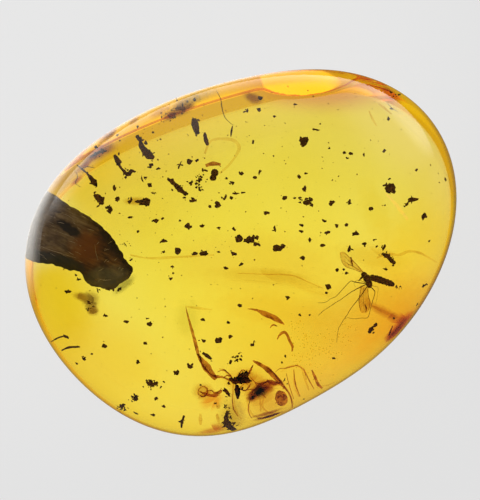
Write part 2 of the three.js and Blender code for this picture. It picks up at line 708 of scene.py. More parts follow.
def around(value, angle):
    """A value that changes round the stone: greatest on the shoulder, least opposite it."""
    middle, lean, pinch = value
    turn = angle - math.radians(SHOULDER_SIDE)
    return middle + lean * math.cos(turn) + pinch * math.cos(2 * turn)


def stone_point(direction):
    """Where on the stone a direction of the unit sphere leads, in millimetres."""
    angle = math.atan2(direction.y, direction.x)
    rise = max(-1, min(1, direction.z))
    side = math.sqrt(1 - rise * rise)
    girdle = around(GIRDLE, angle)
    if rise >= 0:
        reach = side ** around(CROWN_FULLNESS, angle)
        height = girdle + (STONE_HEIGHT - girdle) * rise
    else:
        reach = side ** around(BELLY_FULLNESS, angle)
        height = max(0, girdle * (1 + BELLY_DEPTH * rise))
    radius = reach * outline_radius(angle)
    return Vector((radius * math.cos(angle), radius * math.sin(angle), height))


def cut_window(verts):
    """Moves every point that stands outside the window's plane straight onto it."""
    facing = Matrix.Rotation(math.radians(WINDOW_SIDE), 3, "Z")
    facing = facing @ Matrix.Rotation(-math.radians(WINDOW_LEAN), 3, "Y") @ Vector((0, 0, -1))
    plane = max(vert.co.dot(facing) for vert in verts) - WINDOW_CUT
    for vert in verts:
        excess = vert.co.dot(facing) - plane
        if excess > 0:
            vert.co -= facing * excess


def fit_to_box(shape, low, high):
    """Scales and moves a shape so that its box is exactly this one."""
    own_low = Vector(min(vert.co[k] for vert in shape.verts) for k in range(3))
    own_high = Vector(max(vert.co[k] for vert in shape.verts) for k in range(3))
    size = [(high[k] - low[k]) / (own_high[k] - own_low[k]) for k in range(3)]
    matrix = Matrix.Translation(low) @ Matrix.Diagonal((*size, 1)) @ Matrix.Translation(-own_low)
    bmesh.ops.transform(shape, matrix=matrix, verts=shape.verts)


# A line that misses the stone is moved in by this share and tried again.
STEP_INWARDS = 0.996
# How far inside its walls a ray starts, in metres.
NUDGE = 1e-6


class Sight:
    """Lines of sight into the stone, from the camera straight above it."""

    def __init__(self):
        self.stone = BVHTree.FromObject(
            bpy.data.objects[STONE_NAME], bpy.context.evaluated_depsgraph_get())
        distance = bpy.context.scene.amber_stage.distance
        self.eye = Vector((0, 0, distance + EYE_LEVEL * MM))

    def trace(self, x, y):
        """Where the line of sight at x, y enters the amber, its way inside and its length."""
        entry = None
        while entry is None:
            way = (Vector((x, y, EYE_LEVEL)) * MM - self.eye).normalized()
            entry, normal = self.stone.ray_cast(self.eye, way)[:2]
            x, y = x * STEP_INWARDS, y * STEP_INWARDS
        lean = -normal.dot(way)
        bent = math.sqrt(1 - (1 - lean * lean) / AMBER_IOR ** 2)
        inside = way / AMBER_IOR + (lean / AMBER_IOR - bent) * normal
        length = self.stone.ray_cast(entry + inside * NUDGE, inside)[3] or 0
        return entry, inside, length

    def deep(self, x, y, depth):
        """The point seen at x, y this far into the amber, in millimetres."""
        entry, way, length = self.trace(x, y)
        return entry + way * min(depth * MM, 0.9 * length)

    def share(self, x, y, part):
        """The point seen at x, y this share of the way from the crown to the belly."""
        entry, way, length = self.trace(x, y)
        return entry + way * length * part

    def path(self, points, steps, part):
        """A smooth line through the points seen at these places, this share of the way down."""
        return [self.share(point.x, point.y, part) for point in spline(points, steps)]

    def level(self, x, y, height):
        """The point seen at x, y at this height above the resting flat, in millimetres."""
        entry, way, length = self.trace(x, y)
        reach = (height * MM - entry.z) / way.z
        return entry + way * min(max(reach, 0.02 * length), 0.96 * length)

    def held_in(self, middle, point):
        """A point drawn in towards a middle that lies in the amber until it does so too."""
        way = point - middle
        room = self.stone.ray_cast(middle, way.normalized())[3]
        return middle + way.normalized() * min(way.length, 0.95 * room)


# ---------------------------------------------------------------------------------------------
# Pieces
# ---------------------------------------------------------------------------------------------

class MakeStone(Operator):
    """Makes the polished amber stone"""
    bl_idname = "amber.make_stone"
    bl_label = "Stone"

    def execute(self, context):
        settings = context.scene.amber_stone
        shape = bmesh.new()
        bmesh.ops.create_uvsphere(
            shape, u_segments=settings.segments, v_segments=settings.rings, radius=1)
        for vert in shape.verts:
            vert.co = stone_point(vert.co)
        cut_window(shape.verts)
        fit_to_box(shape, LOW, HIGH)
        piece = add_piece(STONE_NAME, shape, amber_material(settings.absorbed), "amber")
        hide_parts(STONE_NODE)
        return {"FINISHED"}


# The bark's outline from its upper corner at the stone's edge, round its inner end and back.
BARK_OUTLINE = [
    (-18.25, 6.0), (-16.4, 4.9), (-14.9, 4.0), (-13.4, 3.0), (-12.5, 2.2), (-11.8, 1.4),
    (-11.3, 0.5), (-10.7, -0.5), (-10.1, -1.3), (-10.2, -1.85), (-10.6, -2.3), (-11.3, -2.7),
    (-11.8, -3.15), (-12.5, -3.15), (-13.2, -3.0), (-14.0, -2.9), (-14.45, -2.45), (-14.7, -1.9),
    (-15.35, -1.45), (-15.9, -1.45), (-16.6, -1.2), (-17.5, -0.9), (-18.7, -0.72), (-19.95, -0.4),
    (-20.1, 0.5), (-19.9, 1.9), (-19.4, 3.6), (-18.8, 5.0),
]


# How far in from its outline the bark's edge is rounded, how far it drops there, and how thick it
# is at the least.
BARK_ROUNDING = 0.45
BARK_DROP = 0.35
BARK_THINNEST = 0.25

# The longest pale fibres on the bark, and how many short ones are tried besides.
FIBRE_LINES = [
    [(-17.5, 2.35), (-16.6, 2.0), (-15.9, 1.75), (-15.2, 1.3)],
    [(-19.2, 1.05), (-18.0, 0.55), (-16.8, 0.15), (-15.3, -0.3)],
    [(-17.0, 3.9), (-16.2, 3.7), (-15.6, 3.3)],
    [(-13.4, -2.2), (-12.7, -2.35), (-12.1, -2.3)],
    [(-13.6, 1.0), (-13.5, 0.2), (-13.3, -0.5)],
]
SHORT_FIBRES = 60


def inside_outline(x, y, outline):
    """Whether a point lies inside a closed outline."""
    inside = False
    for (ax, ay), (bx, by) in zip(outline, outline[1:] + outline[:1]):
        if (ay > y) != (by > y) and x < ax + (y - ay) / (by - ay) * (bx - ax):
            inside = not inside
    return inside


def nearest_on_outline(point, outline):
    """The nearest point of a closed outline."""
    best, best_gap = None, math.inf
    for start, end in zip(outline, outline[1:] + outline[:1]):
        side = end - start
        share = min(1, max(0, (point - start).dot(side) / side.length_squared))
        found = start + side * share
        gap = (point - found).length
        if gap < best_gap:
            best, best_gap = found, gap
    return best, best_gap


def cut_grid(outline, cell):
    """A grid of faces cut to an outline, with its border moved onto it. Flat, in millimetres."""
    low = Vector((min(p.x for p in outline), min(p.y for p in outline)))
    high = Vector((max(p.x for p in outline), max(p.y for p in outline)))
    middle, size = (low + high) / 2, high - low
    shape = bmesh.new()
    bmesh.ops.create_grid(
        shape, x_segments=round(size.x / cell), y_segments=round(size.y / cell), size=0.5,
        matrix=Matrix.Translation(middle.to_3d()) @ Matrix.Diagonal((size.x, size.y, 1, 1)))
    flat = [(p.x, p.y) for p in outline]
    outside = [face for face in shape.faces
               if not inside_outline(*face.calc_center_median().xy, flat)]
    bmesh.ops.delete(shape, geom=outside, context="FACES")
    for vert in shape.verts:
        if vert.is_boundary:
            vert.co = nearest_on_outline(vert.co.xy, outline)[0].to_3d()
    return shape


def bark_relief(x, y):
    """Ridges along the grain, soft humps and grit, in millimetres."""
    turn = math.radians(BARK_GRAIN)
    along = x * math.cos(turn) + y * math.sin(turn)
    across = y * math.cos(turn) - x * math.sin(turn)
    ridges = noise.fractal(Vector((along * 0.3, across * 2.6, 3)), 0.9, 2, 4)
    humps = noise.noise(Vector((x * 0.7, y * 0.7, 8)))
    grit = noise.noise(Vector((x * 5, y * 5, 1)))
    return 0.07 * ridges + 0.16 * humps + 0.025 * grit


class MakeBark(Operator):
    """Makes the bark fragment and the pale fibres on it"""
    bl_idname = "amber.make_bark"
    bl_label = "Bark"

    def execute(self, context):
        settings = context.scene.amber_bark
        self.sight = Sight()
        self.cover = settings.cover / MM
        self.dip = settings.dip / MM
        outline = [point.xy for point in spline(BARK_OUTLINE, 6, True)]
        outline = [point + self.ragged(point) for point in outline]
        self.make_slab(outline, settings)
        self.make_fibres()
        return {"FINISHED"}

    def ragged(self, point):
        """A small push that frays the bark's broken edge."""
        seed = Vector((point.x * 2.3, point.y * 2.3, 5))
        return Vector((noise.noise(seed), noise.noise(seed + Vector((9, 9, 9))))) * 0.13

    def depth(self, x, y):
        """How deep the bark's surface lies under the crown at x, y."""
        return self.cover + self.dip * ease(-18.5, -10.5, x)

    def make_slab(self, outline, settings):
        shape = cut_grid(outline, settings.cell / MM)
        grown = bmesh.ops.extrude_face_region(shape, geom=list(shape.faces))["geom"]
        bottoms = {part for part in grown if isinstance(part, bmesh.types.BMVert)}
        thickness = settings.thickness / MM
        for vert in list(shape.verts):
            x, y = vert.co.xy
            gap = nearest_on_outline(vert.co.xy, outline)[1]
            swell = ease(-0.1, 0.7, gap)
            inner = ease(-19.4, -18, x)
            depth = self.depth(x, y) + BARK_DROP * inner * (1 - ease(0, BARK_ROUNDING, gap))
            depth += inner * bark_relief(x, y) * (0.35 + 0.65 * swell)
            if vert in bottoms:
                depth += BARK_THINNEST + thickness * swell + 0.2 * noise.noise(Vector((x, y, 4)))
            vert.co = self.sight.deep(x, y, max(depth, 0.05))
        bmesh.ops.remove_doubles(shape, verts=shape.verts, dist=0.004 * MM)
        add_piece("bark_fragment", shape, bark_material(), "bark")

    def make_fibres(self):
        """Pale fibres that follow the grain."""
        draw = random.Random(31)
        lines = list(FIBRE_LINES)
        for _ in range(SHORT_FIBRES):
            x, y = draw.uniform(-18.6, -11.0), draw.uniform(-2.8, 4.6)
            turn = math.radians(BARK_GRAIN + draw.gauss(0, 14) + (60 if x > -13.6 else 0))
            half = Vector((math.cos(turn), math.sin(turn))) * draw.uniform(0.05, 0.38)
            ends = (Vector((x, y)) - half, Vector((x, y)) + half)
            if all(inside_outline(*end, BARK_OUTLINE) for end in ends):
                lines.append([tuple(ends[0]), (x, y + draw.uniform(-0.06, 0.06)), tuple(ends[1])])
        shape = bmesh.new()
        for line in lines:
            width = draw.uniform(0.015, 0.04)
            draw_line(shape, line, 5, [width * 0.3, width, width * 0.4], self.on_surface, 5)
        add_piece("bark_fibres", shape, fibre_material(), "bark")

    def on_surface(self, x, y):
        """The point of the bark's surface seen at x, y, just clear of it."""
        return self.sight.deep(x, y, self.depth(x, y) + bark_relief(x, y) - 0.02)


# The gnat. Each place is what is seen from above; heights are measured from its body.
LEGS = [
    [(11.61, -2.67), (10.6, -2.53), (10.15, -2.46), (9.47, -3.17), (8.9, -3.8), (8.33, -4.09),
     (7.77, -4.42), (7.13, -4.45)],
    [(11.61, -2.74), (10.89, -3.1), (10.11, -3.53), (9.47, -4.02), (8.55, -4.6), (7.83, -5.09),
     (7.41, -5.38), (7.2, -5.66)],
    [(11.75, -2.88), (11.18, -3.74), (10.69, -4.38), (10.19, -5.02), (9.76, -5.73),
     (9.33, -6.37), (9.05, -6.94), (8.94, -7.66), (8.9, -8.15)],
    [(11.9, -2.81), (12.32, -3.24), (12.45, -3.53), (12.25, -4.23), (12.04, -5.02),
     (11.79, -5.8), (11.18, -5.87), (10.47, -5.94), (9.83, -5.8)],
    [(12.0, -2.8), (12.55, -2.95), (12.74, -3.02), (12.68, -3.74), (12.5, -4.6)],
    [(11.6, -2.6), (10.9, -2.35), (10.5, -2.62), (10.62, -2.95)],
]
WINGS = [
    ([(11.42, -1.55), (10.65, -0.75), (10.14, -0.25), (9.58, 0.28), (9.19, 0.21),
      (9.32, -0.35), (9.47, -0.82), (9.8, -1.12), (10.47, -1.34), (11.1, -1.6)], 0.5),
    ([(11.1, -2.85), (11.02, -3.58), (10.95, -4.38), (11.1, -5.25), (11.44, -5.42),
      (11.9, -5.15), (12.04, -4.42), (11.85, -3.74), (11.8, -3.0)], -0.7),
]
VEINS = [
    ([(11.3, -1.6), (10.65, -0.78), (10.14, -0.28), (9.62, 0.24)], 0.5, 0.07),
    ([(10.2, -0.2), (10.28, -0.6), (10.4, -1.1)], 0.52, 0.2),
    ([(11.2, -1.6), (10.5, -1.1), (9.95, -0.85), (9.5, -0.5)], 0.5, 0.055),
    ([(10.3, -0.95), (10.0, -0.5), (9.5, -0.05)], 0.5, 0.04),
    ([(11.1, -1.62), (10.5, -1.36), (9.82, -1.14), (9.46, -0.8), (9.28, -0.3), (9.22, 0.2)],
     0.5, 0.045),
    ([(11.2, -2.95), (11.02, -3.8), (10.97, -4.5), (11.12, -5.2)], -0.7, 0.07),
    ([(11.4, -3.0), (11.35, -4.0), (11.45, -5.2)], -0.7, 0.04),
    ([(11.75, -3.0), (11.86, -3.9), (12.0, -4.5), (11.85, -5.1)], -0.7, 0.06),
    ([(11.5, -4.6), (11.65, -4.95), (11.6, -5.3)], -0.7, 0.16),
]
ABDOMEN = [(12.05, -2.12), (12.6, -2.22), (13.2, -2.42), (13.75, -2.6), (14.25, -2.82)]
ABDOMEN_RINGS = 7

# Round parts of the head and chest: where each is, its size and turn, its rise and unevenness.
LUMPS = [
    (11.47, -1.88, (0.62, 0.55, 0.55), -40, 0.05, 0.05),
    (11.72, -2.2, (0.75, 0.72, 0.8), -60, 0.15, 0.08),
    (11.88, -2.62, (0.95, 0.62, 0.75), -72, 0, 0.08),
    (11.3, -1.78, (0.3, 0.26, 0.34), 0, 0.12, 0.05),
    (11.33, -2.02, (0.28, 0.26, 0.34), 0, 0.1, 0.05),
]

# Mouthparts and feelers: where each starts and ends, and its width.
FEELERS = [
    ((11.35, -2.05), (10.92, -2.42), 0.14), ((11.3, -2.0), (11.08, -2.2), 0.12),
    ((11.4, -1.75), (11.35, -1.55), 0.06), ((12.0, -1.95), (12.35, -1.85), 0.08),
]


class MakeGnat(Operator):
    """Makes the gnat's body, legs and wings"""
    bl_idname = "amber.make_gnat"
    bl_label = "Gnat"

    def execute(self, context):
        settings = context.scene.amber_gnat
        self.sight = Sight()
        self.height = settings.height / MM
        self.make_body()
        self.make_legs(settings.leg_width)
        self.make_wings()
        return {"FINISHED"}

    def at(self, x, y, rise=0):
        return self.sight.level(x, y, self.height + rise)

    def lump(self, shape, x, y, size, turn, rise, rough):
        """A rounded body part with a slightly uneven skin. Sizes in millimetres."""
        made = bmesh.ops.create_icosphere(shape, subdivisions=3, radius=0.5)
        matrix = Matrix.Translation(self.at(x, y, rise))
        matrix = matrix @ Matrix.Rotation(math.radians(turn), 4, "Z")
        matrix = matrix @ Matrix.Diagonal((*(part * MM for part in size), 1))
        for vert in made["verts"]:
            vert.co *= 1 + rough * noise.noise(vert.co * 7 + Vector((x, y, rise)))
        bmesh.ops.transform(shape, matrix=matrix, verts=made["verts"])

    def make_body(self):
        shape = bmesh.new()
        for part in LUMPS:
            self.lump(shape, *part)
        self.make_abdomen(shape)
        for start, end, width in FEELERS:
            bend = (Vector(start) + Vector(end)) / 2 + Vector((0, 0.03))
            draw_line(shape, [start, bend, end], 5, [width, width, width * 0.5],
                      lambda x, y: self.at(x, y, -0.1), 8)
        add_piece("gnat_body", shape, insect_material(), "insect")

    def make_abdomen(self, shape):
        """A row of rings, each a little wider at its hind edge, tapering to the tip."""
        path = [self.at(point.x, point.y, -0.02) for point in spline(ABDOMEN, 14)]
        taper = spread([0.42, 0.6, 0.66, 0.64, 0.6, 0.6, 0.54, 0.26], len(path))
        widths = []
        for i, width in enumerate(taper):
            ring = (i / (len(path) - 1) * ABDOMEN_RINGS) % 1
            lump = 0.12 * noise.noise(Vector((i * 0.35, 2, 1)))
            widths.append(width * MM * (0.88 + 0.16 * ring + lump))
        sweep(shape, path, widths, 16, 0.85)

    def make_legs(self, width):
        shape = bmesh.new()
        for i, leg in enumerate(LEGS):
            run = spline(leg, 5)
            drop = 0.25 + 0.35 * (i % 3)
            path = []
            for k, point in enumerate(run):
                share = k / (len(run) - 1)
                path.append(self.at(point.x, point.y, -0.2 - drop * share))
            thick = width * (0.5 if i > 3 else 1)
            taper = [1.6, 1.7, 1.1, 1.0, 0.95, 0.8, 0.75, 0.6]
            sweep(shape, path, spread([part * thick for part in taper], len(path)))
        shin = crumb_material("insect_leg", rgb(0.05, 0.02, 0.008), rgb(0.2, 0.1, 0.035))
        add_piece("gnat_legs", shape, shin, "insect")

    def make_wings(self):
        wing_film = film_material(
            "insect_wing", rgb(0.8, 0.6, 0.4), rgb(0.95, 0.86, 0.72), 0.9, 1.6)
        shape = bmesh.new()
        for outline, rise in WINGS:
            wing = cut_grid([point.xy for point in spline(outline, 5, True)], 0.06)
            for vert in wing.verts:
                x, y = vert.co.xy
                vert.co = self.at(x, y, rise + 0.05 * math.sin(9 * x + 5 * y))
            bmesh.ops.solidify(wing, geom=list(wing.faces), thickness=0.02 * MM)
            merge(shape, wing)
        add_piece("gnat_wings", shape, wing_film, "insect_wing")
        shape = bmesh.new()
        for line, rise, width in VEINS:
            draw_line(shape, line, 6, [width * 0.6, width, width * 0.4],
                      lambda x, y: self.at(x, y, rise))
        vein = film_material("insect_vein", rgb(0.3, 0.12, 0.04), rgb(0.5, 0.25, 0.1), 0.6)
        add_piece("gnat_veins", shape, vein, "insect_wing")


# Crumbs: where each is seen, its length and width, and its turn in degrees, in millimetres.
CRUMBS = [
    (-8.4, 8.3, 0.6, 0.45, 20), (-7.7, 8.0, 0.4, 0.3, 0), (-8.2, 11.4, 0.25, 0.2, 0),
    (-9.6, 11.9, 0.3, 0.25, 0), (-11.5, 11.1, 0.3, 0.2, 30), (-11.3, 10.65, 0.22, 0.2, 0),
    (-11.8, 6.2, 0.65, 0.35, 80),
    (-11.5, 5.2, 0.5, 0.45, 0), (-10.3, 5.1, 0.7, 0.4, 80), (-8.9, 4.9, 1.0, 0.7, 0),
    (-9.5, 4.95, 0.6, 0.3, 10), (-9.2, 7.1, 0.7, 0.25, -70), (-8.9, 7.2, 0.35, 0.25, 0),
    (-8.5, 6.5, 0.5, 0.4, 0), (-8.1, 5.8, 0.6, 0.2, 0), (-4.8, 8.7, 0.7, 0.45, 10),
    (-4.1, 8.8, 0.4, 0.35, 0), (-5.7, 8.4, 0.7, 0.35, 70), (-3.4, 7.8, 0.5, 0.35, 0),
    (-0.9, 6.7, 0.6, 0.4, 0), (-1.4, 7.1, 0.3, 0.3, 0), (-1.6, 5.4, 0.6, 0.45, 70),
    (-0.9, 5.3, 0.35, 0.3, 0), (-0.5, 5.7, 0.7, 0.3, 0), (0.2, 5.8, 0.4, 0.3, 0),
    (-2.2, 4.7, 0.75, 0.6, 30), (-2.9, 4.5, 0.3, 0.3, 0), (-4.5, 5.1, 0.5, 0.45, 0),
    (-5.3, 5.3, 0.3, 0.25, 0), (-8.0, 3.1, 0.8, 0.4, 35), (-7.3, 3.4, 0.3, 0.3, 0),
    (-4.9, 2.7, 0.7, 0.55, 20), (-5.7, 3.2, 0.25, 0.2, 0), (-3.6, 2.7, 0.5, 0.3, 0),
    (-2.1, 2.5, 0.4, 0.3, 0), (-0.7, 2.4, 0.4, 0.3, 80), (-7.2, 1.3, 0.75, 0.3, 0),
    (-5.9, 0.4, 0.7, 0.55, 80), (-7.2, 0.3, 0.3, 0.25, 0), (-4.3, 0.1, 0.5, 0.4, 0),
    (-3.5, 0.2, 0.75, 0.5, 0), (-2.1, 0.3, 0.4, 0.2, 0), (-0.7, 0.2, 0.6, 0.45, 80),
    (-1.4, -1.2, 0.5, 0.3, 0), (-0.1, -0.9, 0.7, 0.3, 10), (-6.4, -1.1, 0.4, 0.25, 0),
    (-6.3, -1.7, 0.25, 0.2, 0), (-6.5, -2.2, 0.4, 0.3, 0), (-0.2, 1.5, 0.75, 0.65, 80),
    (0.8, 1.4, 1.05, 0.65, 0), (1.5, 1.6, 0.5, 0.35, 40), (1.4, 1.0, 0.7, 0.4, -20),
    (0.0, 7.6, 0.5, 0.35, 0), (1.3, 7.2, 0.4, 0.35, 0), (1.7, 7.7, 0.5, 0.2, 80),
    (1.1, 10.5, 0.4, 0.3, 80), (0.5, 13.4, 0.7, 0.3, 80), (1.6, 13.5, 0.5, 0.35, 0),
    (5.0, 14.0, 0.4, 0.2, 0), (3.1, 12.9, 0.3, 0.25, 0), (7.0, 11.7, 0.7, 0.3, -10),
    (7.3, 12.2, 0.25, 0.2, 0), (5.9, 10.6, 1.0, 0.65, 70), (5.4, 7.3, 0.4, 0.35, 90),
    (6.0, 7.6, 0.4, 0.2, 0), (5.9, 6.2, 0.65, 0.35, 80), (4.1, 5.3, 0.5, 0.4, 0),
    (5.0, 5.3, 0.4, 0.2, 0), (8.5, 4.8, 0.6, 0.5, 20), (2.4, 3.9, 0.5, 0.4, 0),
    (3.1, 2.4, 0.6, 0.3, 80), (5.6, 2.75, 0.4, 0.35, 0), (5.6, 2.2, 0.4, 0.35, 0),
    (7.7, 3.2, 0.45, 0.4, 0), (8.9, 2.7, 0.45, 0.4, 0), (9.8, 2.8, 0.4, 0.3, 0),
    (8.1, 2.1, 0.7, 0.3, 10), (7.6, 0.9, 0.45, 0.4, 0), (6.4, 1.4, 0.5, 0.2, 90),
    (3.4, 0.7, 1.0, 0.6, 0), (3.9, 0.85, 0.5, 0.35, 0), (5.7, -0.3, 0.45, 0.42, 0),
    (8.05, -2.95, 0.65, 0.5, 35), (7.95, -3.55, 0.32, 0.28, 0), (9.8, -1.7, 0.5, 0.3, 20),
    (9.55, -1.35, 0.25, 0.22, 0), (8.9, -1.4, 0.4, 0.3, 40), (10.05, 0.5, 0.75, 0.3, 85),
    (9.6, 9.5, 0.32, 0.3, 0), (10.2, 9.4, 0.4, 0.35, 0), (9.9, 9.05, 0.32, 0.3, 0),
    (11.4, 9.3, 0.45, 0.22, 80), (13.3, 9.7, 0.4, 0.3, 80), (14.0, 13.6, 0.4, 0.2, 0),
    (13.7, 12.7, 0.4, 0.28, 80), (19.0, 7.0, 0.5, 0.25, 85), (13.8, 7.1, 0.3, 0.25, 0),
    (13.9, 6.15, 1.05, 0.85, 20), (13.4, 6.5, 0.5, 0.3, 30), (17.0, 3.6, 0.8, 0.5, 80),
    (12.1, 4.3, 0.5, 0.35, 0), (13.4, 4.6, 0.25, 0.2, 0), (10.1, 4.9, 0.6, 0.28, 80),
    (10.7, 2.0, 0.7, 0.4, 10), (12.5, 1.4, 0.5, 0.2, 0), (11.5, 1.0, 0.55, 0.4, 10),
    (13.3, 0.7, 0.65, 0.25, 65), (12.6, 0.8, 0.3, 0.18, 60), (17.5, 1.3, 0.3, 0.25, 0),
    (13.4, -1.3, 0.5, 0.22, -25),
    (17.1, -2.8, 0.8, 0.3, 20), (12.1, -6.95, 0.7, 0.55, 40), (12.45, -6.55, 0.55, 0.4, 60),
    (12.3, -7.25, 0.25, 0.2, 0), (14.2, -5.9, 0.32, 0.25, -20), (8.6, -9.6, 0.5, 0.22, -20),
    (16.4, -4.6, 0.35, 0.25, 60), (-15.4, -1.9, 0.32, 0.3, 0), (-15.1, -2.3, 0.6, 0.2, 0),
    (-13.3, -3.3, 0.55, 0.2, -75), (-16.1, -3.4, 0.75, 0.28, 0), (-10.8, 1.0, 0.6, 0.12, -55),
    (-10.3, -0.4, 0.4, 0.3, 0), (-10.3, 3.5, 0.5, 0.22, 0), (-9.6, 2.2, 0.3, 0.25, 70),
    (-12.6, -5.6, 0.5, 0.35, 0), (-10.7, -6.2, 0.5, 0.3, 0), (-8.5, -6.4, 0.5, 0.45, 0),
    (-8.7, -5.9, 0.35, 0.2, 0), (-8.9, -8.2, 0.4, 0.3, 0), (-12.7, -8.5, 0.6, 0.45, 0),
    (-14.7, -9.6, 0.6, 0.4, -30), (-15.3, -10.1, 0.35, 0.25, 0), (-13.9, -9.2, 0.3, 0.22, 0),
    (-16.3, -7.6, 0.7, 0.28, -20), (-9.6, -10.0, 0.5, 0.3, 80), (-7.9, -13.4, 0.55, 0.35, 70),
    (-7.2, -14.1, 0.4, 0.3, 0), (-6.0, -11.0, 0.65, 0.4, 70), (-4.75, -10.3, 0.65, 0.55, -60),
    (-9.8, -14.7, 0.5, 0.3, -30), (-8.2, -14.9, 0.45, 0.35, 0), (-3.6, -6.0, 0.45, 0.28, -20),
    (-1.2, -6.3, 0.35, 0.3, 0), (-2.1, -7.9, 0.68, 0.62, 0), (-1.0, -7.6, 0.45, 0.4, 80),
    (-3.5, -8.0, 0.4, 0.32, 0), (-3.9, -7.95, 0.16, 0.14, 0), (1.05, -8.35, 0.4, 0.35, 0),
    (1.18, -8.1, 0.4, 0.14, 75), (-1.0, -9.95, 0.42, 0.33, 80), (-0.1, -4.7, 0.5, 0.3, -30),
    (4.3, -4.0, 0.45, 0.38, 20), (5.45, -5.6, 0.3, 0.24, -30), (6.4, -5.6, 0.22, 0.2, 0),
    (4.1, -9.4, 0.35, 0.2, -60), (3.8, -10.0, 0.26, 0.24, 0), (4.0, -11.65, 0.5, 0.14, 75),
    (4.3, -12.0, 0.18, 0.16, 0), (5.85, -13.4, 0.28, 0.2, -40), (-2.4, -13.8, 0.3, 0.2, 20),
    (-3.75, -12.1, 0.28, 0.2, 30), (8.2, 9.95, 0.25, 0.2, 0), (3.0, 9.2, 0.22, 0.2, 0),
    (-14.3, 7.6, 0.35, 0.25, 0), (1.75, 14.6, 0.5, 0.35, 0), (16.3, 7.9, 0.3, 0.25, 0),
    (16.0, 5.15, 1.1, 0.42, 12), (15.45, 4.75, 0.45, 0.28, 50), (15.2, 4.5, 0.25, 0.2, 0),
    (6.0, 4.95, 0.95, 0.6, -20), (6.6, 4.6, 0.4, 0.3, 0), (5.5, 5.3, 0.35, 0.25, 0),
    (-8.3, -12.0, 0.95, 0.65, 25), (-9.75, -13.3, 0.75, 0.4, 60), (-10.95, -14.05, 1.0, 0.5, 30),
]

# Splinters and sticks: the points along each and its widths from end to end.
SPLINTERS = [
    ([(-6.85, 7.1), (-6.2, 6.6), (-5.7, 6.1), (-5.05, 5.6)], [0.2, 0.42, 0.55, 0.3]),
    ([(-15.25, 8.35), (-14.8, 8.0), (-14.35, 7.6)], [0.1, 0.2, 0.14]),
    ([(-14.35, 7.6), (-14.0, 7.2), (-13.7, 6.8), (-13.4, 6.35)], [0.14, 0.42, 0.6, 0.12]),
    ([(-11.8, 9.3), (-11.5, 8.8), (-11.25, 8.2), (-10.85, 7.75)], [0.3, 0.5, 0.22, 0.34]),
    ([(-10.9, 7.7), (-10.5, 7.5), (-10.2, 7.8), (-9.9, 7.75)], [0.3, 0.46, 0.36, 0.2]),
    ([(-3.6, -9.1), (-3.2, -9.35), (-2.75, -9.7)], [0.26, 0.34, 0.22]),
    ([(-1.3, -14.6), (-1.4, -15.3), (-1.15, -15.9), (-0.6, -16.3)], [0.25, 0.5, 0.8, 0.5]),
    ([(-5.3, -14.95), (-5.5, -15.6), (-5.55, -16.1)], [0.16, 0.26, 0.1]),
    ([(-5.8, -15.55), (-5.5, -15.4), (-5.35, -15.3)], [0.2, 0.24, 0.2]),
    ([(-17.7, -8.1), (-17.0, -7.7), (-16.4, -7.55)], [0.06, 0.16, 0.1]),
    ([(-16.7, -8.9), (-16.0, -8.6), (-15.0, -8.55)], [0.12, 0.26, 0.14]),
    ([(-4.4, 12.7), (-4.25, 12.0), (-4.05, 11.2)], [0.5, 0.66, 0.3]),
    ([(-3.4, 11.4), (-3.3, 10.8), (-3.1, 10.2)], [0.2, 0.46, 0.26]),
    ([(-9.7, 11.1), (-9.4, 10.6), (-9.25, 10.1), (-8.8, 9.5)], [0.46, 0.22, 0.5, 0.8]),
    ([(-9.0, 9.7), (-8.6, 9.3), (-8.1, 9.0)], [0.5, 0.85, 0.3]),
    ([(-13.7, 5.6), (-13.2, 5.25), (-12.85, 4.7)], [0.25, 0.75, 0.3]),
    ([(-12.5, 4.5), (-12.15, 4.3), (-12.35, 3.95)], [0.2, 0.42, 0.5]),
    ([(13.1, 0.1), (13.6, -0.1), (14.0, -0.55), (14.35, -0.8)], [0.2, 0.4, 0.5, 0.24]),
    ([(-9.9, 4.95), (-9.3, 5.0), (-8.5, 4.8)], [0.14, 0.3, 0.6]),
    ([(-14.0, 9.1), (-13.3, 9.5), (-12.5, 9.7)], [0.08, 0.26, 0.16]),
]

# Fine threads: the points along each and its width.
THREADS = [
    ([(-2.3, 15.3), (-1.9, 14.5), (-1.8, 13.8), (-1.5, 12.8), (-0.75, 12.05)], 0.1),
    ([(-0.8, 12.0), (-0.9, 11.5), (-0.95, 11.0)], 0.22),
    ([(-15.5, 7.9), (-15.2, 7.3), (-15.4, 6.7), (-14.9, 6.3)], 0.08),
    ([(-14.9, 8.0), (-14.3, 8.2), (-13.6, 8.1)], 0.08),
    ([(13.4, 14.4), (14.0, 13.7), (14.6, 13.3)], 0.06),
]

# How far into the amber the threads lie, in millimetres.
THREAD_DEPTH = 1.2

# Round pellets: where each is seen and its width.
PELLETS = [(-2.45, 7.65, 0.7), (-2.6, 7.2, 0.62)]

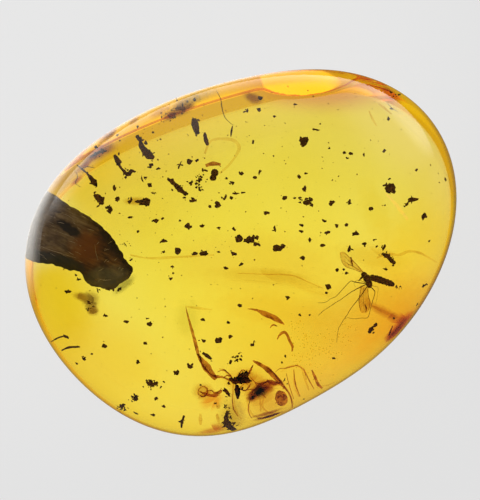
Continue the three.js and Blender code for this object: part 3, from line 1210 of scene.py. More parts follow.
# Clusters of grains: the middle of each, its width and height, and how many grains it has. Those at
# (-13.1, 9.6), (-5.6, 13.9) and (-6.8, 13.1), in the rim band at the top left, are painted
# reflections: dark grains put where the polish mirrors inclusions.
CLUSTERS_AND_MIRROR_MARKS = [
    (-3.9, 6.9, 1.3, 1.5, 26), (-4.7, 6.7, 0.6, 0.5, 6), (-3.7, 6.1, 0.6, 0.4, 5),
    (6.1, 4.9, 1.4, 0.7, 20), (-8.3, -12.0, 1.4, 1.0, 26), (-9.9, -13.4, 0.8, 0.9, 15),
    (-11.1, -14.25, 1.0, 0.7, 16), (-0.2, -9.5, 0.85, 0.75, 18), (-1.35, -14.2, 0.6, 0.7, 10),
    (-1.25, -15.0, 0.7, 0.9, 20), (-0.85, -15.9, 0.8, 0.9, 22), (13.7, -0.2, 1.1, 0.7, 8),
    (-4.4, 5.15, 0.5, 0.5, 6), (-14.1, -4.6, 0.6, 1.2, 7),
    (0.9, 1.3, 1.6, 0.7, 9), (-11.9, -3.15, 2.2, 0.3, 16), (14.4, -3.1, 0.8, 0.35, 7),
    # Painted reflection: the first cluster on this line and the first two on the next are dark
    # grains put where the rim's polish mirrors inclusions.
    (-13.1, 9.6, 1.1, 0.8, 12), (0.35, -11.05, 0.5, 0.6, 7),
    (-5.6, 13.9, 2.6, 1.5, 11), (-6.8, 13.1, 1.6, 0.8, 6), (14.4, 14.9, 1.0, 0.6, 6),
    (-11.1, -14.2, 0.7, 0.5, 14), (-9.8, -13.3, 0.5, 0.6, 12), (-8.2, -12.0, 0.9, 0.6, 16),
]

# How far the grains of a cluster stray from its middle, as a share of its size, and the size of
# the smallest speck of dust.
GRAIN_SPREAD = 0.27
SMALLEST_SPECK = 0.06 * MM


class MakeCrumbs(Operator):
    """Makes the plant crumbs, splinters, clusters of grains and dust, and dark grains that paint
    the marks mirrored in the rim
    """
    bl_idname = "amber.make_crumbs"
    bl_label = "Crumbs"

    def execute(self, context):
        settings = context.scene.amber_crumbs
        self.sight = Sight()
        self.draw = random.Random(settings.seed)
        dark = crumb_material("debris_dark", rgb(0.022, 0.009, 0.003), rgb(0.13, 0.055, 0.02))
        brown = crumb_material("debris_brown", rgb(0.1, 0.04, 0.01), rgb(0.36, 0.17, 0.05))
        shape = bmesh.new()
        for x, y, length, width, turn in CRUMBS:
            place = self.sight.share(x, y, self.draw.uniform(0.08, 0.36))
            crumb(shape, place, length * MM, width * MM, turn, self.draw)
        add_piece("debris_crumbs", shape, dark, "debris", False)
        self.make_splinters(dark)
        self.make_clusters_and_mirror_marks(dark)
        self.make_dust(brown, settings.dust)
        return {"FINISHED"}

    def make_splinters(self, material):
        shape = bmesh.new()
        for line, widths in SPLINTERS:
            part = self.draw.uniform(0.06, 0.3)
            path = self.sight.path(line, 4, part)
            splinter(shape, path, spread(widths, len(path)), self.draw)
        for x, y, width in PELLETS:
            made = bmesh.ops.create_icosphere(shape, subdivisions=2, radius=width / 2 * MM)
            place = self.sight.share(x, y, 0.35)
            for vert in made["verts"]:
                grit = noise.noise(vert.co / MM * 4 + Vector((x, y, 0)))
                vert.co = place + vert.co * (1 + 0.12 * grit)
        add_piece("debris_splinters", shape, material, "debris", False)
        shape = bmesh.new()
        for line, width in THREADS:
            draw_line(shape, line, 6, [0.4 * width, width, 0.4 * width],
                      lambda x, y: self.sight.deep(x, y, THREAD_DEPTH))
        add_piece("debris_threads", shape, material, "debris")

    def make_clusters_and_mirror_marks(self, material):
        shape = bmesh.new()
        for x, y, width, height, count in CLUSTERS_AND_MIRROR_MARKS:
            part = self.draw.uniform(0.12, 0.35)
            for _ in range(count):
                grain_x = x + self.draw.gauss(0, GRAIN_SPREAD) * width
                grain_y = y + self.draw.gauss(0, GRAIN_SPREAD) * height
                size = self.draw.uniform(0.12, 0.36) * MM
                place = self.sight.share(grain_x, grain_y, part + self.draw.gauss(0, 0.02))
                sizes = (size, size * self.draw.uniform(0.6, 1), size * 0.8)
                chip(shape, place, sizes, self.draw.uniform(0, 180), self.draw, 8)
        add_piece("debris_clusters", shape, material, "debris", False)

    def make_dust(self, material, count):
        """Specks all over the stone, thicker in the upper left half."""
        shape = bmesh.new()
        made = 0
        while made < count:
            angle = self.draw.uniform(0, 2 * math.pi)
            reach = math.sqrt(self.draw.uniform(0, 0.88)) * outline_radius(angle)
            x, y = reach * math.cos(angle), reach * math.sin(angle)
            if self.draw.random() > 0.45 + 0.03 * (y - 0.5 * x):
                continue
            made += 1
            size = SMALLEST_SPECK * 2.2 ** self.draw.uniform(0, 1.6)
            place = self.sight.share(x, y, self.draw.uniform(0.1, 0.9))
            sizes = (size, size * self.draw.uniform(0.5, 1), size * 0.7)
            chip(shape, place, sizes, self.draw.uniform(0, 180), self.draw, 6)
        add_piece("debris_dust", shape, material, "debris", False)


# Stained cracks, blades and flow lines: the points along each, its widths from end to end in
# millimetres, and the share of the way down at which it lies.
BLADES = [
    ([(-5.15, -4.85), (-4.9, -5.85), (-4.58, -7.0), (-4.15, -8.6), (-3.95, -9.37),
      (-3.6, -9.85), (-3.2, -10.45), (-2.8, -11.0), (-2.34, -11.55)],
     [0.04, 0.16, 0.24, 0.3, 0.32, 0.5, 0.68, 0.66, 0.3], 0.5),
    ([(-2.6, -11.2), (-2.1, -11.35), (-1.6, -11.4), (-1.0, -11.7)], [0.2, 0.26, 0.16, 0.2], 0.5),
    ([(0.6, -5.0), (1.45, -5.14), (2.21, -5.48), (2.98, -5.8), (3.54, -6.14), (4.02, -6.47)],
     [0.04, 0.22, 0.44, 0.5, 0.36, 0.06], 0.45),
    ([(1.08, -9.84), (1.65, -10.13), (2.4, -10.6), (2.97, -11.17), (3.45, -11.65),
      (3.92, -12.2), (4.4, -12.78), (4.68, -13.45), (4.78, -14.2)],
     [0.08, 0.36, 0.46, 0.5, 0.46, 0.24, 0.14, 0.12, 0.08], 0.5),
    ([(3.35, -7.85), (3.64, -7.38), (4.02, -7.18), (4.3, -7.47), (4.49, -7.94), (4.77, -8.5),
      (4.73, -9.0)], [0.08, 0.2, 0.28, 0.28, 0.26, 0.24, 0.08], 0.45),
    ([(-1.78, -12.6), (-2.15, -12.88), (-2.73, -13.07), (-3.29, -12.95), (-3.86, -12.69)],
     [0.25, 0.3, 0.28, 0.24, 0.12], 0.5),
    ([(2.4, -11.6), (2.75, -11.9), (3.2, -11.95), (3.6, -11.9)], [0.1, 0.3, 0.34, 0.1], 0.55),
    ([(6.58, -10.7), (6.87, -11.36), (7.15, -12.03), (7.53, -12.41)], [0.1, 0.26, 0.28, 0.2], 0.5),
    ([(1.12, -10.22), (0.88, -10.79), (0.6, -11.27)], [0.06, 0.14, 0.16], 0.5),
    ([(2.69, -6.8), (2.98, -6.52), (3.35, -6.61)], [0.05, 0.16, 0.08], 0.5),
    ([(-3.3, 8.3), (-2.6, 8.5), (-1.9, 8.4)], [0.3, 0.4, 0.25], 0.4),
    ([(0.75, -12.9), (1.2, -12.6), (1.9, -12.0), (2.6, -11.75)], [0.1, 0.2, 0.24, 0.1], 0.55),
]
DARK_MASSES = [
    ([(-1.05, -11.5), (-0.6, -11.72), (0.0, -11.7), (0.5, -11.62), (0.95, -11.72)],
     [0.16, 0.6, 0.62, 0.4, 0.1], 0.45),
    ([(-0.3, -11.35), (0.1, -11.2), (0.5, -11.3)], [0.2, 0.5, 0.3], 0.45),
    ([(-0.4, -12.1), (-0.35, -12.6), (-0.33, -13.05), (-0.3, -13.4)], [0.3, 0.52, 0.34, 0.1], 0.5),
    ([(-1.62, -12.5), (-1.35, -12.72), (-1.06, -13.18)], [0.34, 0.38, 0.12], 0.4),
    ([(0.5, -10.85), (0.5, -11.05), (0.48, -11.3)], [0.24, 0.32, 0.2], 0.42),
    ([(1.5, -12.95), (1.7, -12.7), (1.85, -12.45)], [0.2, 0.4, 0.2], 0.6),
    ([(0.95, -13.4), (1.1, -13.3), (1.25, -13.15)], [0.12, 0.26, 0.14], 0.6),
    ([(-1.15, -11.5), (-0.7, -11.65), (-0.45, -12.1)], [0.08, 0.3, 0.1], 0.45),
    ([(0.35, -11.2), (0.6, -11.45), (0.75, -11.85)], [0.1, 0.3, 0.1], 0.45),
    ([(-4.1, -9.2), (-3.85, -9.5), (-3.7, -9.9)], [0.1, 0.2, 0.08], 0.45),
]
FLOW_LINES = [
    ([(-10.3, 0.0), (-8.6, -0.3), (-6.0, -0.2), (-2.5, 0.0)], 0.12, 0.4),
    ([(12.6, -0.3), (13.6, 0.1), (14.7, 0.0), (15.6, 0.33), (16.7, 0.15), (18.2, -0.7)], 0.14, 0.4),
    ([(-0.3, -1.7), (2.2, -1.8), (4.7, -1.9), (6.3, -2.55), (7.6, -3.1)], 0.07, 0.5),
    ([(-3.4, 9.4), (-2.8, 10.6), (-1.7, 10.8), (-0.6, 10.6), (-0.2, 9.8), (-1.1, 8.4),
      (-2.0, 7.6)], 0.16, 0.4),
    ([(12.7, 14.2), (13.4, 13.6), (14.0, 13.1)], 0.12, 0.3),
    ([(11.9, 13.4), (12.2, 12.7), (12.6, 12.0)], 0.12, 0.3),
    ([(12.18, -4.73), (13.32, -5.3), (14.67, -5.87)], 0.16, 0.4),
    ([(-5.2, -4.8), (-4.0, -4.95), (-2.7, -5.1)], 0.12, 0.5),
    ([(-2.06, -10.6), (-1.49, -10.79), (-1.11, -11.36)], 0.12, 0.5),
    ([(2.4, -12.3), (2.87, -11.83), (3.73, -12.03), (4.4, -12.78), (4.77, -14.02),
      (4.11, -14.6), (2.87, -14.75), (2.03, -14.2), (2.12, -13.26), (2.4, -12.3)], 0.12, 0.5),
    ([(0.5, -13.2), (0.7, -14.2), (1.08, -14.9), (1.65, -15.1)], 0.12, 0.5),
    ([(1.74, -13.26), (1.83, -14.0), (1.83, -14.6)], 0.1, 0.5),
    ([(-0.73, -12.03), (-0.73, -13.26), (-0.45, -14.5), (0.03, -15.3)], 0.12, 0.5),
    ([(-3.8, -14.78), (-3.77, -15.3), (-3.77, -15.8)], 0.17, 0.5),
    ([(-2.25, -14.78), (-2.15, -15.2), (-2.06, -15.7)], 0.17, 0.5),
    ([(-2.2, -13.75), (-2.15, -14.02), (-2.1, -14.3)], 0.22, 0.5),
    ([(-0.1, -12.2), (0.3, -12.6), (0.6, -12.55), (0.75, -12.2), (0.5, -12.0)], 0.1, 0.5),
    ([(7.53, -12.2), (8.1, -12.12), (8.74, -11.74)], 0.08, 0.5),
    ([(5.6, -10.4), (5.9, -11.4), (6.3, -12.6)], 0.12, 0.5),
    ([(4.9, -10.7), (5.0, -12.2), (5.4, -13.2)], 0.12, 0.5),
    ([(3.7, -10.9), (4.3, -10.5), (5.1, -10.3), (5.7, -10.6)], 0.1, 0.5),
    ([(-3.95, -12.5), (-3.95, -12.9), (-3.57, -13.12), (-3.2, -12.9), (-3.2, -12.45),
      (-3.57, -12.26), (-3.95, -12.5)], 0.12, 0.5),
]

# Fine brown fibres round the cracks: the points along each and its width.
FIBRES = [
    ([(-1.7, -10.6), (-1.0, -11.2), (-0.84, -11.7)], 0.14),
    ([(-2.2, -10.9), (-1.6, -10.7), (-1.1, -11.1)], 0.1),
    ([(1.05, -10.3), (0.75, -10.9), (0.45, -11.5)], 0.16),
    ([(0.3, -11.95), (-0.1, -12.4), (0.4, -12.6), (0.85, -12.05), (0.6, -11.7)], 0.12),
    ([(0.8, -11.3), (1.4, -11.9), (2.0, -11.95), (2.7, -11.65), (3.4, -11.9)], 0.13),
    ([(0.9, -13.3), (0.65, -14.4), (1.0, -15.2)], 0.12),
    ([(-0.84, -12.9), (-0.74, -14.2), (-0.3, -15.0)], 0.12),
    ([(0.6, -12.6), (1.0, -12.5), (1.3, -12.7)], 0.12),
    ([(1.3, -11.9), (1.5, -12.2), (1.7, -12.5)], 0.14),
    ([(2.6, -12.3), (2.2, -12.4), (1.9, -12.7)], 0.14),
    ([(0.8, -13.5), (1.2, -13.2), (1.6, -13.0)], 0.14),
    ([(2.3, -13.3), (2.0, -13.0), (1.8, -12.8)], 0.12),
    ([(-3.95, -12.5), (-4.0, -12.9), (-3.57, -13.2), (-3.15, -12.9), (-3.2, -12.4),
      (-3.57, -12.2), (-3.95, -12.5)], 0.12),
    ([(-3.2, -12.7), (-2.8, -12.6), (-2.5, -12.8), (-2.1, -12.7), (-1.8, -12.4)], 0.14),
    ([(-2.9, -13.1), (-2.4, -13.2), (-2.0, -13.0)], 0.12),
    ([(3.2, -10.9), (3.6, -10.6), (4.3, -10.5), (5.2, -10.3), (5.8, -10.7), (6.1, -11.6)], 0.1),
    ([(4.9, -10.6), (5.05, -12.0), (5.5, -13.2)], 0.12),
    ([(4.2, -11.0), (4.5, -12.2), (4.9, -13.4)], 0.1),
    ([(5.8, -10.5), (6.3, -11.6), (6.8, -12.5)], 0.12),
    ([(-0.9, -11.4), (-1.3, -11.2), (-1.7, -11.5)], 0.12),
    ([(-0.2, -11.2), (0.1, -10.7), (0.5, -10.9)], 0.1),
]

# Soft stains: where each is seen, its width, height and turn, its tint, and the share of the way
# down at which it lies. The first ten, along the rim band at the top left, are painted reflections:
# images of inclusions and of a grey sheen mirrored in the rim's polish.
STAINS_AND_MIRROR_MARKS = [
    # Painted reflections: the ten ovals from here, along the rim band at the top left, are images
    # of inclusions and of a grey sheen mirrored in the polish.
    (-13.1, 9.55, 2.7, 0.95, 22, rgb(0.4, 0.22, 0.3), 0.2),
    (-12.6, 10.9, 1.3, 0.4, 35, rgb(0.7, 0.6, 0.65), 0.15),
    (-10.0, 12.5, 1.0, 0.4, 35, rgb(0.55, 0.45, 0.5), 0.15),
    (-6.5, 13.0, 1.5, 0.6, 25, rgb(0.35, 0.22, 0.25), 0.15),
    (-5.3, 13.8, 1.8, 1.1, 30, rgb(0.42, 0.34, 0.4), 0.15),
    (-4.0, 14.7, 3.2, 0.8, 20, rgb(0.72, 0.74, 0.9), 0.15),
    (-7.6, 13.3, 1.6, 0.6, 30, rgb(0.75, 0.65, 0.7), 0.15),
    (-12.3, 11.5, 1.4, 0.5, 38, rgb(0.55, 0.45, 0.5), 0.15),
    (-14.6, 8.3, 1.6, 0.5, 40, rgb(0.6, 0.4, 0.4), 0.2),
    (-15.3, 6.9, 1.1, 0.4, 40, rgb(0.6, 0.35, 0.3), 0.2),
    (1.1, 14.6, 1.5, 0.8, -25, rgb(0.4, 0.28, 0.2), 0.15),
    (14.0, 14.9, 1.8, 1.1, -35, rgb(0.65, 0.35, 0.35), 0.15),
    (14.8, -6.5, 3.0, 2.0, 42, rgb(0.9, 0.68, 0.5), 0.24),
    (14.8, -6.7, 2.6, 1.0, 46, rgb(0.78, 0.48, 0.4), 0.3),
    (14.8, -6.7, 1.9, 0.6, 48, rgb(0.7, 0.45, 0.6), 0.36),
    (14.1, -7.5, 1.2, 0.6, 40, rgb(0.68, 0.42, 0.42), 0.42),
    (-5.0, -6.0, 1.8, 2.6, 0, rgb(0.88, 0.88, 0.8), 0.5),
    (1.75, -12.65, 2.0, 1.5, 30, rgb(0.78, 0.6, 0.4), 0.5),
    (1.75, -12.75, 0.85, 0.8, 30, rgb(0.16, 0.1, 0.08), 0.52),
    (1.05, -13.3, 0.7, 0.5, 30, rgb(0.4, 0.16, 0.12), 0.52),
    (2.4, -12.25, 0.9, 0.6, -10, rgb(0.7, 0.5, 0.3), 0.5),
    (3.0, -11.95, 1.6, 0.5, 0, rgb(0.8, 0.62, 0.4), 0.5),
    (-0.3, -14.6, 0.9, 3.4, 15, rgb(0.88, 0.85, 0.9), 0.5),
    (0.5, -11.3, 1.0, 0.7, 20, rgb(0.55, 0.36, 0.2), 0.5),
    (2.4, -13.9, 2.6, 1.8, 0, rgb(0.92, 0.84, 0.75), 0.5),
    (-3.55, -12.7, 1.4, 1.2, 0, rgb(0.75, 0.55, 0.35), 0.5),
    (2.6, -15.0, 2.4, 0.5, 10, rgb(0.45, 0.25, 0.25), 0.5),
    (-2.5, -16.35, 2.6, 0.95, 18, rgb(0.76, 0.46, 0.36), 0.5),
    (13.3, -5.3, 3.4, 0.7, -27, rgb(0.75, 0.55, 0.4), 0.4),
    (6.2, -2.9, 4.5, 0.8, -18, rgb(0.97, 0.93, 0.85), 0.5),
    (12.5, 4.0, 2.2, 4.4, 20, rgb(0.97, 0.93, 0.7), 0.5),
    (12.0, -0.2, 5.0, 1.6, -10, rgb(0.93, 0.86, 0.7), 0.5),
    (2.0, -1.9, 7.0, 1.1, -3, rgb(0.93, 0.88, 0.75), 0.5),
    (3.5, -5.2, 8.0, 2.4, -8, rgb(0.97, 0.9, 0.75), 0.6),
    (-2.8, -13.6, 1.8, 1.0, 35, rgb(0.93, 0.7, 0.5), 0.5),
    (-10.9, -2.8, 2.0, 0.7, 38, rgb(0.5, 0.5, 0.5), 0.3),
    (-14.0, -4.2, 1.3, 1.3, 0, rgb(0.52, 0.46, 0.45), 0.4),
    (-14.9, -3.9, 1.3, 0.6, -15, rgb(0.6, 0.5, 0.4), 0.4),
    (-13.8, -5.2, 0.9, 0.8, 0, rgb(0.55, 0.45, 0.4), 0.4),
    (-9.8, 5.0, 1.8, 0.6, 0, rgb(0.7, 0.55, 0.3), 0.3),
    (0.3, -11.6, 2.6, 1.6, 0, rgb(0.87, 0.74, 0.55), 0.5),
    (-1.2, -15.2, 1.6, 2.6, 0, rgb(0.8, 0.75, 0.65), 0.5),
]
# How soft and ragged the edge of a stain or painted mirror mark is, and how many times as wide its
# sheet is.
STAIN_SOFT = 0.6
STAIN_RAGGED = 0.4
STAIN_SHEET = 1.9

# Streaks beside the cracks and by the largest flake, laid out as the blades are.
PURPLE_STREAKS = [
    ([(2.3, -10.4), (3.0, -10.95), (3.5, -11.6), (3.9, -12.1)], [0.04, 0.12, 0.14, 0.05], 0.48),
    ([(-3.95, -9.7), (-3.6, -10.2), (-3.2, -10.75), (-2.6, -11.3)], [0.08, 0.16, 0.18, 0.06], 0.48),
    ([(-0.2, -11.75), (0.3, -11.85), (0.75, -11.9)], [0.1, 0.16, 0.08], 0.45),
    ([(14.0, -7.5), (14.4, -7.0), (14.85, -6.5), (15.3, -6.05)], [0.03, 0.09, 0.1, 0.03], 0.4),
    ([(1.5, -15.2), (2.2, -15.15), (2.9, -14.95), (3.6, -14.7)], [0.12, 0.3, 0.5, 0.2], 0.5),
    ([(14.1, -6.6), (13.9, -7.1), (13.75, -7.5)], [0.12, 0.24, 0.2], 0.4),
]
# A pale streak that glows with painted light, laid out as the blades are.
GLOWING_PALE_STREAKS = [([(13.45, 5.75), (14.4, 4.7), (15.5, 3.3)], [0.14, 0.34, 0.24], 0.3)]

# The oval scar: where it is seen, its width, height and turn.
SPECKLED_OVAL = (3.78, -13.4, 1.1, 1.9, 20)


class MakeCracks(Operator):
    """Makes the stained cracks, blades, dark masses and flow lines"""
    bl_idname = "amber.make_cracks"
    bl_label = "Cracks"

    def execute(self, context):
        self.sight = Sight()
        brown = film_material(
            "fracture_brown", rgb(0.3, 0.09, 0.045), rgb(0.8, 0.44, 0.25), 0.85, 1.8)
        dark = film_material(
            "fracture_dark", rgb(0.01, 0.004, 0.003), rgb(0.16, 0.05, 0.02), 0.6, 1.8)
        faint = film_material(
            "flow_line", rgb(0.8, 0.66, 0.45), rgb(0.96, 0.88, 0.75), 1, 0.5)
        self.make_runs("fracture_blades", BLADES, brown, 0.35)
        self.make_masses(dark)
        lines = [(path, [width, width * 2, width], part) for path, width, part in FLOW_LINES]
        self.make_runs("flow_lines", lines, faint, 0.5)
        lines = [(path, [width * 0.4, width, width * 0.4], 0.5) for path, width in FIBRES]
        self.make_runs("fracture_fibres", lines, brown, 0.7)
        purple = film_material(
            "fracture_purple", rgb(0.12, 0.03, 0.03), rgb(0.5, 0.16, 0.1), 0.75, 2)
        self.make_runs("fracture_streaks", PURPLE_STREAKS, purple, 0.5)
        # Painted light: the pale streak glows a little, though nothing lights it.
        pale = film_material("flow_streak", rgb(0.9, 0.8, 0.8), rgb(1, 0.85, 0.6), 1, glow=0.07)
        self.make_runs("flow_streak", GLOWING_PALE_STREAKS, pale, 0.4)
        self.make_stains_and_mirror_marks()
        self.make_oval(brown)
        return {"FINISHED"}

    def make_masses(self, film):
        """Dark, ragged masses where the cracks meet."""
        draw = random.Random(17)
        shape = bmesh.new()
        for line, widths, part in DARK_MASSES:
            path = self.sight.path(line, 5, part)
            splinter(shape, path, spread(widths, len(path)), draw)
        add_piece("fracture_masses", shape, film, "fracture", False)

    def make_stains_and_mirror_marks(self):
        """Soft stains and painted reflections: thin sheets whose tint fades out towards their
        edges.
        """
        stains = []
        shape = bmesh.new()
        for x, y, width, height, turn, tint, part in STAINS_AND_MIRROR_MARKS:
            place = self.sight.share(x, y, part)
            stains.append((place / MM, (width, height), turn, STAIN_SOFT, STAIN_RAGGED, tint))
            made = bmesh.ops.create_circle(
                shape, cap_ends=True, segments=32, radius=0.5 * MM,
                matrix=Matrix.Translation(place) @ Matrix.Rotation(math.radians(turn), 4, "Z")
                @ Matrix.Diagonal((STAIN_SHEET * width, STAIN_SHEET * height, 1, 1)))
            for vert in made["verts"]:
                vert.co = self.sight.held_in(place, vert.co)
            face = made["verts"][0].link_faces[0]
            grown = bmesh.ops.extrude_face_region(shape, geom=[face])["geom"]
            upper = [part for part in grown if isinstance(part, bmesh.types.BMVert)]
            bmesh.ops.translate(shape, vec=(0, 0, 0.01 * MM), verts=upper)
        add_piece("fracture_stains", shape, stain_and_mirror_mark_material(stains), "fracture", False)

    def make_oval(self, film):
        """A flat oval scar, speckled with grains."""
        draw = random.Random(5)
        shape = bmesh.new()
        x, y, width, height, turn = SPECKLED_OVAL
        place = self.sight.share(x, y, 0.5)
        matrix = Matrix.Translation(place) @ Matrix.Rotation(math.radians(turn), 4, "Z")
        size = Matrix.Diagonal((width * MM, height * MM, 0.25 * MM, 1))
        made = bmesh.ops.create_icosphere(shape, subdivisions=3, radius=0.5)
        for vert in made["verts"]:
            vert.co *= 1 + 0.12 * noise.noise(vert.co * 6 + Vector((x, y, 0)))
        bmesh.ops.transform(shape, matrix=matrix @ size, verts=made["verts"])
        for _ in range(18):
            way = Vector((draw.gauss(0, 0.2) * width, draw.gauss(0, 0.2) * height, 0.25)) * MM
            grain = draw.uniform(0.1, 0.24) * MM
            chip(shape, place + way, (grain, grain, grain * 0.5), 0, draw)
        add_piece("fracture_oval", shape, film, "fracture")

    def make_runs(self, name, runs, material, flatness):
        shape = bmesh.new()
        for line, widths, part in runs:
            run = spline(line, 7)
            path = self.sight.path(line, 7, part)
            sizes = []
            for i, width in enumerate(spread(widths, len(path))):
                sway = noise.noise(Vector((run[i].x * 1.7, run[i].y * 1.7, 2)))
                sizes.append(max(width * (1 + 0.3 * sway), 0.03) * MM)
            sweep(shape, path, sizes, 10, flatness)
        add_piece(name, shape, material, "fracture")


# Trains of small bubbles: where each starts and ends, its spread and how many it has.
BUBBLE_TRAINS = [
    ((4.8, -6.3), (6.2, -8.8), 0.5, 40), ((5.6, -7.4), (7.6, -9.2), 0.45, 36),
    ((7.3, -7.3), (8.8, -9.6), 0.4, 34), ((8.6, -6.9), (10.2, -8.2), 0.35, 22),
    ((6.2, -9.4), (7.6, -11.6), 0.5, 30), ((9.6, -6.3), (10.7, -6.9), 0.15, 10),
    ((4.7, -8.9), (5.6, -10.6), 0.3, 18), ((-12.0, -1.0), (-9.6, -2.4), 0.5, 14),
]


class MakeBubbles(Operator):
    """Makes the trains of small bubbles"""
    bl_idname = "amber.make_bubbles"
    bl_label = "Bubbles"

    def execute(self, context):
        usual = context.scene.amber_bubbles.size
        sight = Sight()
        draw = random.Random(12)
        shape = bmesh.new()
        for start, end, width, count in BUBBLE_TRAINS:
            start, end = Vector(start), Vector(end)
            for i in range(count):
                middle = start.lerp(end, draw.random())
                x = middle.x + draw.gauss(0, width)
                y = middle.y + draw.gauss(0, width)
                place = sight.share(x, y, draw.uniform(0.35, 0.65))
                radius = usual * draw.uniform(0.3, 0.75)
                bmesh.ops.create_uvsphere(
                    shape, u_segments=8, v_segments=6, radius=radius,
                    matrix=Matrix.Translation(place))
        add_piece("amber_bubbles", shape, bubble_material(), "bubble")
        return {"FINISHED"}


# ---------------------------------------------------------------------------------------------
# Stage
# ---------------------------------------------------------------------------------------------

FLOOR_SIZE = 1.2
FLOOR_GAP = 0.01 * MM

# Where over the stone's middle the camera stands, in millimetres, and how often light may bounce.
LOOK_FROM = (-0.1, 0.45)
DEEPEST_BOUNCE = 48

# Soft lights on the studio's walls: the side and height they are at in degrees, how wide the
# even middle and the soft edge are, and their strength. The first set lights the stone from
# within and the second is mirrored in its polish.
LIGHTS_THROUGH = [(-99, 5, 9, 12, 1.0), (140, 25, 5, 55, 0.35), (-48, 8, 5, 60, 0.5)]
LIGHTS_MIRRORED = [(105, 38, 12, 36, 0.9), (40, 24, 8, 32, 0.85), (38, 4, 10, 26, 2.2)]

# The sides that the low light, the floor's bright card and its warm glow lie on, in degrees.
VEIL_SIDE = 106
CARD_SIDE = 132
WARM_SIDE = -40

# Ovals on the floor, each its radii, turn and middle: the glow under the stone, the part of the
# table that is lit best, and the bright card.
GLOW_OVAL = ((28, 17), 0, (6, -9))
LIT_OVAL = ((30, 30), 0, (-14, 16))
CARD_OVAL = ((20, 16.3), 22)

# How strongly the card shows at growing shares of its reach, which is this many of its ovals.
CARD_REACH = 5
CARD_STOPS = [
    (0.2, 0.2), (0.225, 0.36), (0.28, 0.75), (0.34, 0.85), (0.4, 0.7), (0.53, 0.48), (0.8, 0.3),
]

# The floor's own grey, its light far out, its warm glow, and its light and the card's in mirrors.
FLOOR_GREY = 0.08
FAR_LIGHT = 0.945
WARM_GLOW = (1.7, 1.2, 0.5)
MIRRORED_FLOOR = 0.1
MIRRORED_CARD = 5.3


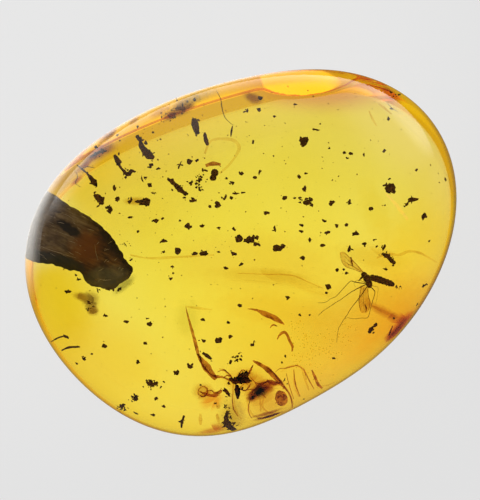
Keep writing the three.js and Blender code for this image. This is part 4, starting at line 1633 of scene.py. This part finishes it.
class MakeStage(Operator):
    """Makes the camera, the pale floor and the soft light"""
    bl_idname = "amber.make_stage"
    bl_label = "Stage"

    def execute(self, context):
        settings = context.scene.amber_stage
        self.make_camera(context.scene, settings)
        self.make_floor(settings)
        self.make_light(context.scene, settings)
        return {"FINISHED"}

    def make_camera(self, scene, settings):
        lens = bpy.data.cameras.new("camera")
        lens.lens = settings.lens
        lens.clip_start = 0.01
        camera = bpy.data.objects.new("camera", lens)
        height = settings.distance + EYE_LEVEL * MM
        camera.location = (LOOK_FROM[0] * MM, LOOK_FROM[1] * MM, height)
        scene.collection.objects.link(camera)
        scene.camera = camera

    def make_floor(self, settings):
        """A pale, softly lit table that glows a little more under the stone.

        The stone's polish mirrors it darker, with a soft bright card on one side.
        """
        shape = bmesh.new()
        bmesh.ops.create_grid(
            shape, x_segments=1, y_segments=1, size=FLOOR_SIZE / 2,
            matrix=Matrix.Translation((0, 0, -FLOOR_GAP)))
        mesh = bpy.data.meshes.new("floor")
        shape.to_mesh(mesh)
        shape.free()
        floor = bpy.data.objects.new("floor", mesh)
        bpy.context.scene.collection.objects.link(floor)
        material, graph = new_material("floor")
        share = graph.rim_share()
        under = graph.ease(share, 0.985, 0.95)
        under = under * graph.ease(graph.reach(*GLOW_OVAL), 1.3, 0.4)
        far = graph.ease(graph.reach(*LIT_OVAL), 0.6, 1.7)
        shine = graph.mix(far, grey(1), grey(FAR_LIGHT))
        shine = graph.mix(under, shine, rgb(1 + settings.glow, 1 + settings.glow, 1))
        outward = graph.outward()
        warm = graph.ease(share, 0.85, 0.93) * graph.ease(share, 1.005, 0.985)
        warm = warm * graph.ease(graph.facing(outward, WARM_SIDE), 0.75, 0.97)
        shine = graph.mix(warm, shine, rgb(*WARM_GLOW))
        mirrored = graph.node("ShaderNodeLightPath", output="Is Reflection Ray")
        reach = graph.reach(*CARD_OVAL) / CARD_REACH
        card = graph.ramp(reach, *((place, grey(value)) for place, value in CARD_STOPS))
        card = card * graph.ease(graph.facing(outward, CARD_SIDE), 0.44, 0.76)
        card = graph.mix(card, grey(MIRRORED_FLOOR), grey(MIRRORED_CARD))
        shine = graph.mix(mirrored, shine, card)
        graph.surface({
            "Base Color": grey(FLOOR_GREY), "Roughness": 1, "Specular IOR Level": 0,
            "Emission Color": shine, "Emission Strength": settings.floor_light,
        })
        mesh.materials.append(material)

    def make_light(self, scene, settings):
        """Studio walls: bright at the horizon, dark overhead, with soft lights on two sides."""
        scene.world = bpy.data.worlds.new("studio")
        graph = Graph(scene.world)
        way = graph.node("ShaderNodeTexCoord", output="Generated")
        height = graph.node("ShaderNodeSeparateXYZ", None, {0: way}, "Z")
        mirrored = graph.node("ShaderNodeLightPath", output="Is Reflection Ray")
        seen = graph.ease(height, 0.05, 0.8, settings.horizon, settings.sky)
        for lamp in LIGHTS_THROUGH:
            seen = seen + self.wall_light(graph, way, *lamp)
        shine = graph.ease(height, 0, 0.4, settings.wall, settings.ceiling)
        veil = graph.facing(way, VEIL_SIDE)
        veil = graph.ease(veil, 0.38, 0.72, 0, settings.veil) * graph.ease(height, 0.6, 0)
        shine = shine + veil
        for lamp in LIGHTS_MIRRORED:
            shine = shine + self.wall_light(graph, way, *lamp)
        light = seen * (1 - mirrored) + shine * mirrored
        shader = graph.node("ShaderNodeBackground", None, {"Color": grey(1), "Strength": light})
        last = graph.tree.nodes.new("ShaderNodeOutputWorld")
        graph.tree.links.new(shader.socket, last.inputs["Surface"])
        scene.view_settings.view_transform = "Standard"
        for kind in ("max_bounces", "transmission_bounces", "glossy_bounces"):
            setattr(scene.cycles, kind, DEEPEST_BOUNCE)

    def wall_light(self, graph, way, side, rise, middle, edge, strength):
        """A round soft light in one direction."""
        near = graph.facing(way, side, rise)
        return graph.ease(
            near, math.cos(math.radians(edge)), math.cos(math.radians(middle)), 0, strength)


# ---------------------------------------------------------------------------------------------
# Add-on
# ---------------------------------------------------------------------------------------------

OPERATORS = (MakeStage, MakeStone, MakeBark, MakeGnat, MakeCrumbs, MakeCracks, MakeBubbles)


class AmberPanel(Panel):
    """Lists the stone's pieces"""
    bl_idname = "VIEW3D_PT_amber"
    bl_label = "Insect in Amber"
    bl_space_type = "VIEW_3D"
    bl_region_type = "UI"
    bl_category = "Amber"

    def draw(self, context):
        for operator in OPERATORS:
            self.layout.operator(operator.bl_idname)


CLASSES = (*SETTINGS.values(), *OPERATORS, AmberPanel)


def register():
    for item in CLASSES:
        bpy.utils.register_class(item)
    for name, settings in SETTINGS.items():
        setattr(bpy.types.Scene, name, PointerProperty(type=settings))


def unregister():
    for name in SETTINGS:
        delattr(bpy.types.Scene, name)
    for item in reversed(CLASSES):
        bpy.utils.unregister_class(item)


def main():
    register()
    bpy.ops.amber.make_stage()
    bpy.ops.amber.make_stone()
    bpy.ops.amber.make_bark()
    bpy.ops.amber.make_gnat()
    bpy.ops.amber.make_crumbs()
    bpy.ops.amber.make_cracks()
    bpy.ops.amber.make_bubbles()


if __name__ == "__main__":
    main()
